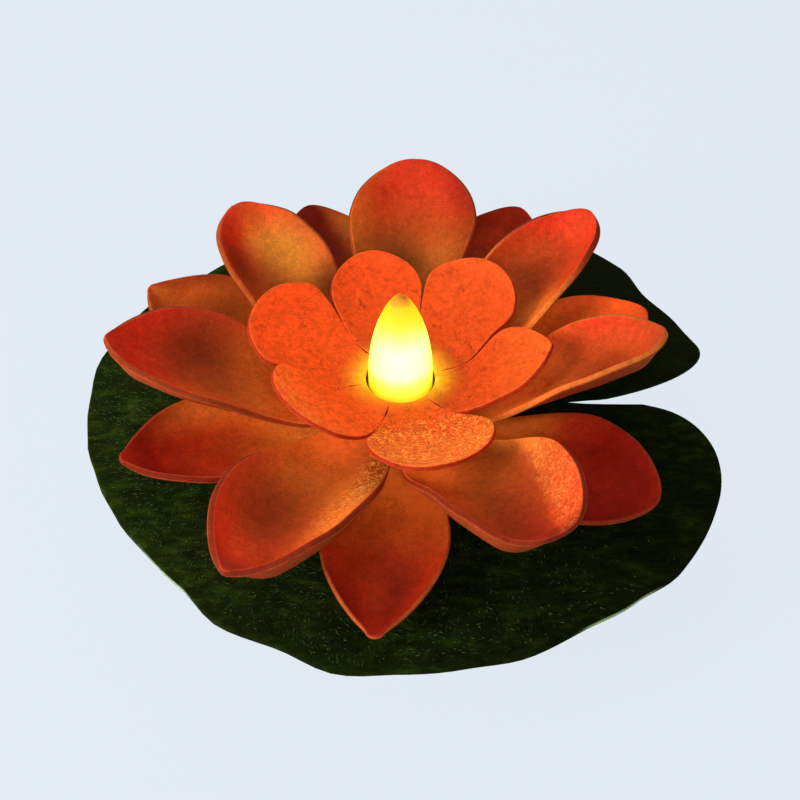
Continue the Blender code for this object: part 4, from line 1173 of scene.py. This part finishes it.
def metal_look(name, color, roughness, stretch=(1, 1, 14)):
    """Drawn metal with fine lines along one axis and a little tarnish."""
    look = Look(name)
    lines = look.noise(700, detail=4, roughness=0.6, vector=look.place(stretch))
    patches = look.noise(220, detail=4, roughness=0.6)
    tarnish = look.span(patches, low=0.4, high=0.75, to_low=1.0, to_high=0.72)
    darker = [value * LINE_TONE for value in color]
    look.set(Base_Color=look.tone(look.mix(lines, color, darker), tarnish), Metallic=1.0)
    look.set(Roughness=look.vary(lines, low=roughness - 0.07, high=roughness + 0.1))
    look.set(Normal=look.bump(lines, distance=0.00002, strength=0.5))
    return look


def dress_cad_nodes():
    """Finer finishes for the solids that stay as the CAD made them."""
    looks = {
        "lamp_housing": plastic_look("housing_abs", (30, 28, 26), 0.6),
        "base_plate": plastic_look("white_abs", (226, 226, 220), 0.42),
        "neck_retainer": plastic_look("retainer_pp", (26, 24, 22), 0.65),
        "battery_cap": plastic_look("cap_abs", (218, 219, 214), 0.4),
        "switch_body": plastic_look("switch_case", (26, 26, 28), 0.45),
        "switch_slider": plastic_look("slider_pom", (214, 214, 208), 0.5, 2600, 0.00005),
        "chip_resistor": plastic_look("chip_body", (22, 22, 24), 0.35),
        "circuit_board": plastic_look("board_laminate", (32, 92, 52), 0.4, 1200),
        "diffuser_seal": plastic_look("seal_silicone", (196, 92, 60), 0.6),
        "cap_oring": plastic_look("oring_rubber", (28, 28, 29), 0.55, 2600),
        "base_gasket": plastic_look("gasket_rubber", (40, 40, 42), 0.6, 2600),
        "led_bulb": plastic_look("led_epoxy", (246, 226, 150), 0.12, 900, 0.00001),
        "coin_cell": metal_look("cell_steel", (196, 196, 194), 0.28, (8, 1, 1)),
    }
    strip = metal_look("spring_strip", (208, 200, 176), 0.3, (12, 1, 1))
    wire = metal_look("tinned_wire", (200, 200, 198), 0.32)
    screw = metal_look("screw_zinc", (188, 190, 192), 0.3)
    looks |= {"negative_contact": strip, "positive_contact": strip, "anode_lead": wire, "cathode_lead": wire}
    looks |= {f"base_screw_{number}": screw for number in (1, 2, 3)}
    for name, look in looks.items():
        for place in nodes[name].material_slots:
            place.material = look.block


def finish_piece(made, look, node):
    """Gives a piece its material and its place in the frame."""
    made.data.materials.append(look.block)
    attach(made, "light")
    if node:
        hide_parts(node)


def build_flower():
    pad = pad_shape()
    outer = petal_ring(OUTER, pad)
    middle = petal_ring(MIDDLE, outer)
    inner = petal_ring(INNER, middle)
    leaf = thickened("pad_leaf", pad, PAD_EDGE, PAD_THIN, pad_paint)
    finish_piece(leaf, pad_look(), "lily_pad")
    for name, shape, thins, paint in (
        ("outer", outer, OUTER_THIN, outer_paint),
        ("middle", middle, MIDDLE_THIN, middle_paint),
        ("inner", inner, INNER_THIN, inner_paint),
    ):
        foam = petal_foam(f"{name}_foam", *FOAM_COLORS[name])
        made = thickened(f"{name}_ring", shape, PETAL_EDGE, thins, paint)
        finish_piece(made, foam, f"{name}_petals")
    finish_piece(flock(leaf), flock_look(), None)


def build_flame():
    made = turned("flame_shell", flame_profile(), FLAME_SEGMENTS)
    made.visible_shadow = False
    finish_piece(made, flame_look(), "flame_diffuser")


def blend_for_eye(look, unseen, seen, output, share=1.0):
    """Shows one shader to the camera, also by way of a mirror or glass, and another to other rays."""
    path = look.node("LightPath").outputs
    eye = look.math("MAXIMUM", path["Is Camera Ray"], path["Is Glossy Ray"])
    eye = look.times(look.math("MAXIMUM", eye, path["Is Transmission Ray"]), share)
    blend = look.node("MixShader")
    for socket, value in zip(blend.inputs, (eye, unseen.outputs[0], seen.outputs[0])):
        look.put(socket, value)
    look.put(look.tree.nodes[output].inputs["Surface"], blend.outputs[0])


def floor_look():
    """A pale floor that shows its own colour to the camera and keeps the object's shadow."""
    look = Look("pale_floor")
    look.set(Base_Color=opaque(BACKGROUND), Roughness=0.9, Specular_IOR_Level=0.0)
    glow = look.fill(look.node("Emission"), Color=opaque(BACKGROUND))
    blend_for_eye(look, look.shader, glow, "Material Output", FLOOR_SEEN)
    return look


def build_floor():
    shape = bmesh.new()
    bmesh.ops.create_grid(shape, x_segments=8, y_segments=8, size=FLOOR_HALF)
    mesh = bpy.data.meshes.new("floor")
    shape.to_mesh(mesh)
    shape.free()
    made = placed("floor", mesh)
    made.location.z = -FLOOR_DROP
    mesh.materials.append(floor_look().block)


def aim(made, target):
    made.rotation_euler = (target - made.location).to_track_quat("-Z", "Y").to_euler()


def build_light():
    for name, (place, size, power) in LIGHTS.items():
        data = bpy.data.lights.new(name, "AREA")
        data.size = size
        data.energy = power
        made = placed(name, data)
        made.location = place
        aim(made, LOOK_AT)
    data = bpy.data.lights.new("led", "POINT")
    data.energy = LED_POWER
    data.color = LED_COLOR
    data.shadow_soft_size = LED_RADIUS
    placed("led", data).location = (0, 0, FLAME_Z + LED_HEIGHT)


def build_world():
    """Soft light from all round, seen by the camera as the pale backdrop."""
    look = Look("studio", bpy.data.worlds)
    bpy.context.scene.world = look.block
    soft = look.tree.nodes["Background"]
    seen = look.node("Background")
    for shade, strength in ((soft, WORLD_LIGHT), (seen, 1.0)):
        look.fill(shade, Color=opaque(BACKGROUND), Strength=strength)
    blend_for_eye(look, soft, seen, "World Output")


def build_camera():
    data = bpy.data.cameras.new("camera")
    data.sensor_width = SENSOR
    data.lens = FOCAL_PIXELS / IMAGE_PIXELS * SENSOR
    data.shift_x = SHIFT_PIXELS[0] / IMAGE_PIXELS
    data.shift_y = SHIFT_PIXELS[1] / IMAGE_PIXELS
    data.clip_start = 0.01
    made = placed("camera", data)
    rise = radians(CAMERA_ELEVATION)
    made.location = LOOK_AT + CAMERA_DISTANCE * Vector((0, -cos(rise), sin(rise)))
    aim(made, LOOK_AT)
    bpy.context.scene.camera = made


def main():
    bpy.context.scene.view_settings.view_transform = "Standard"
    build_camera()
    build_flower()
    build_flame()
    dress_cad_nodes()
    build_floor()
    build_light()
    build_world()


main()
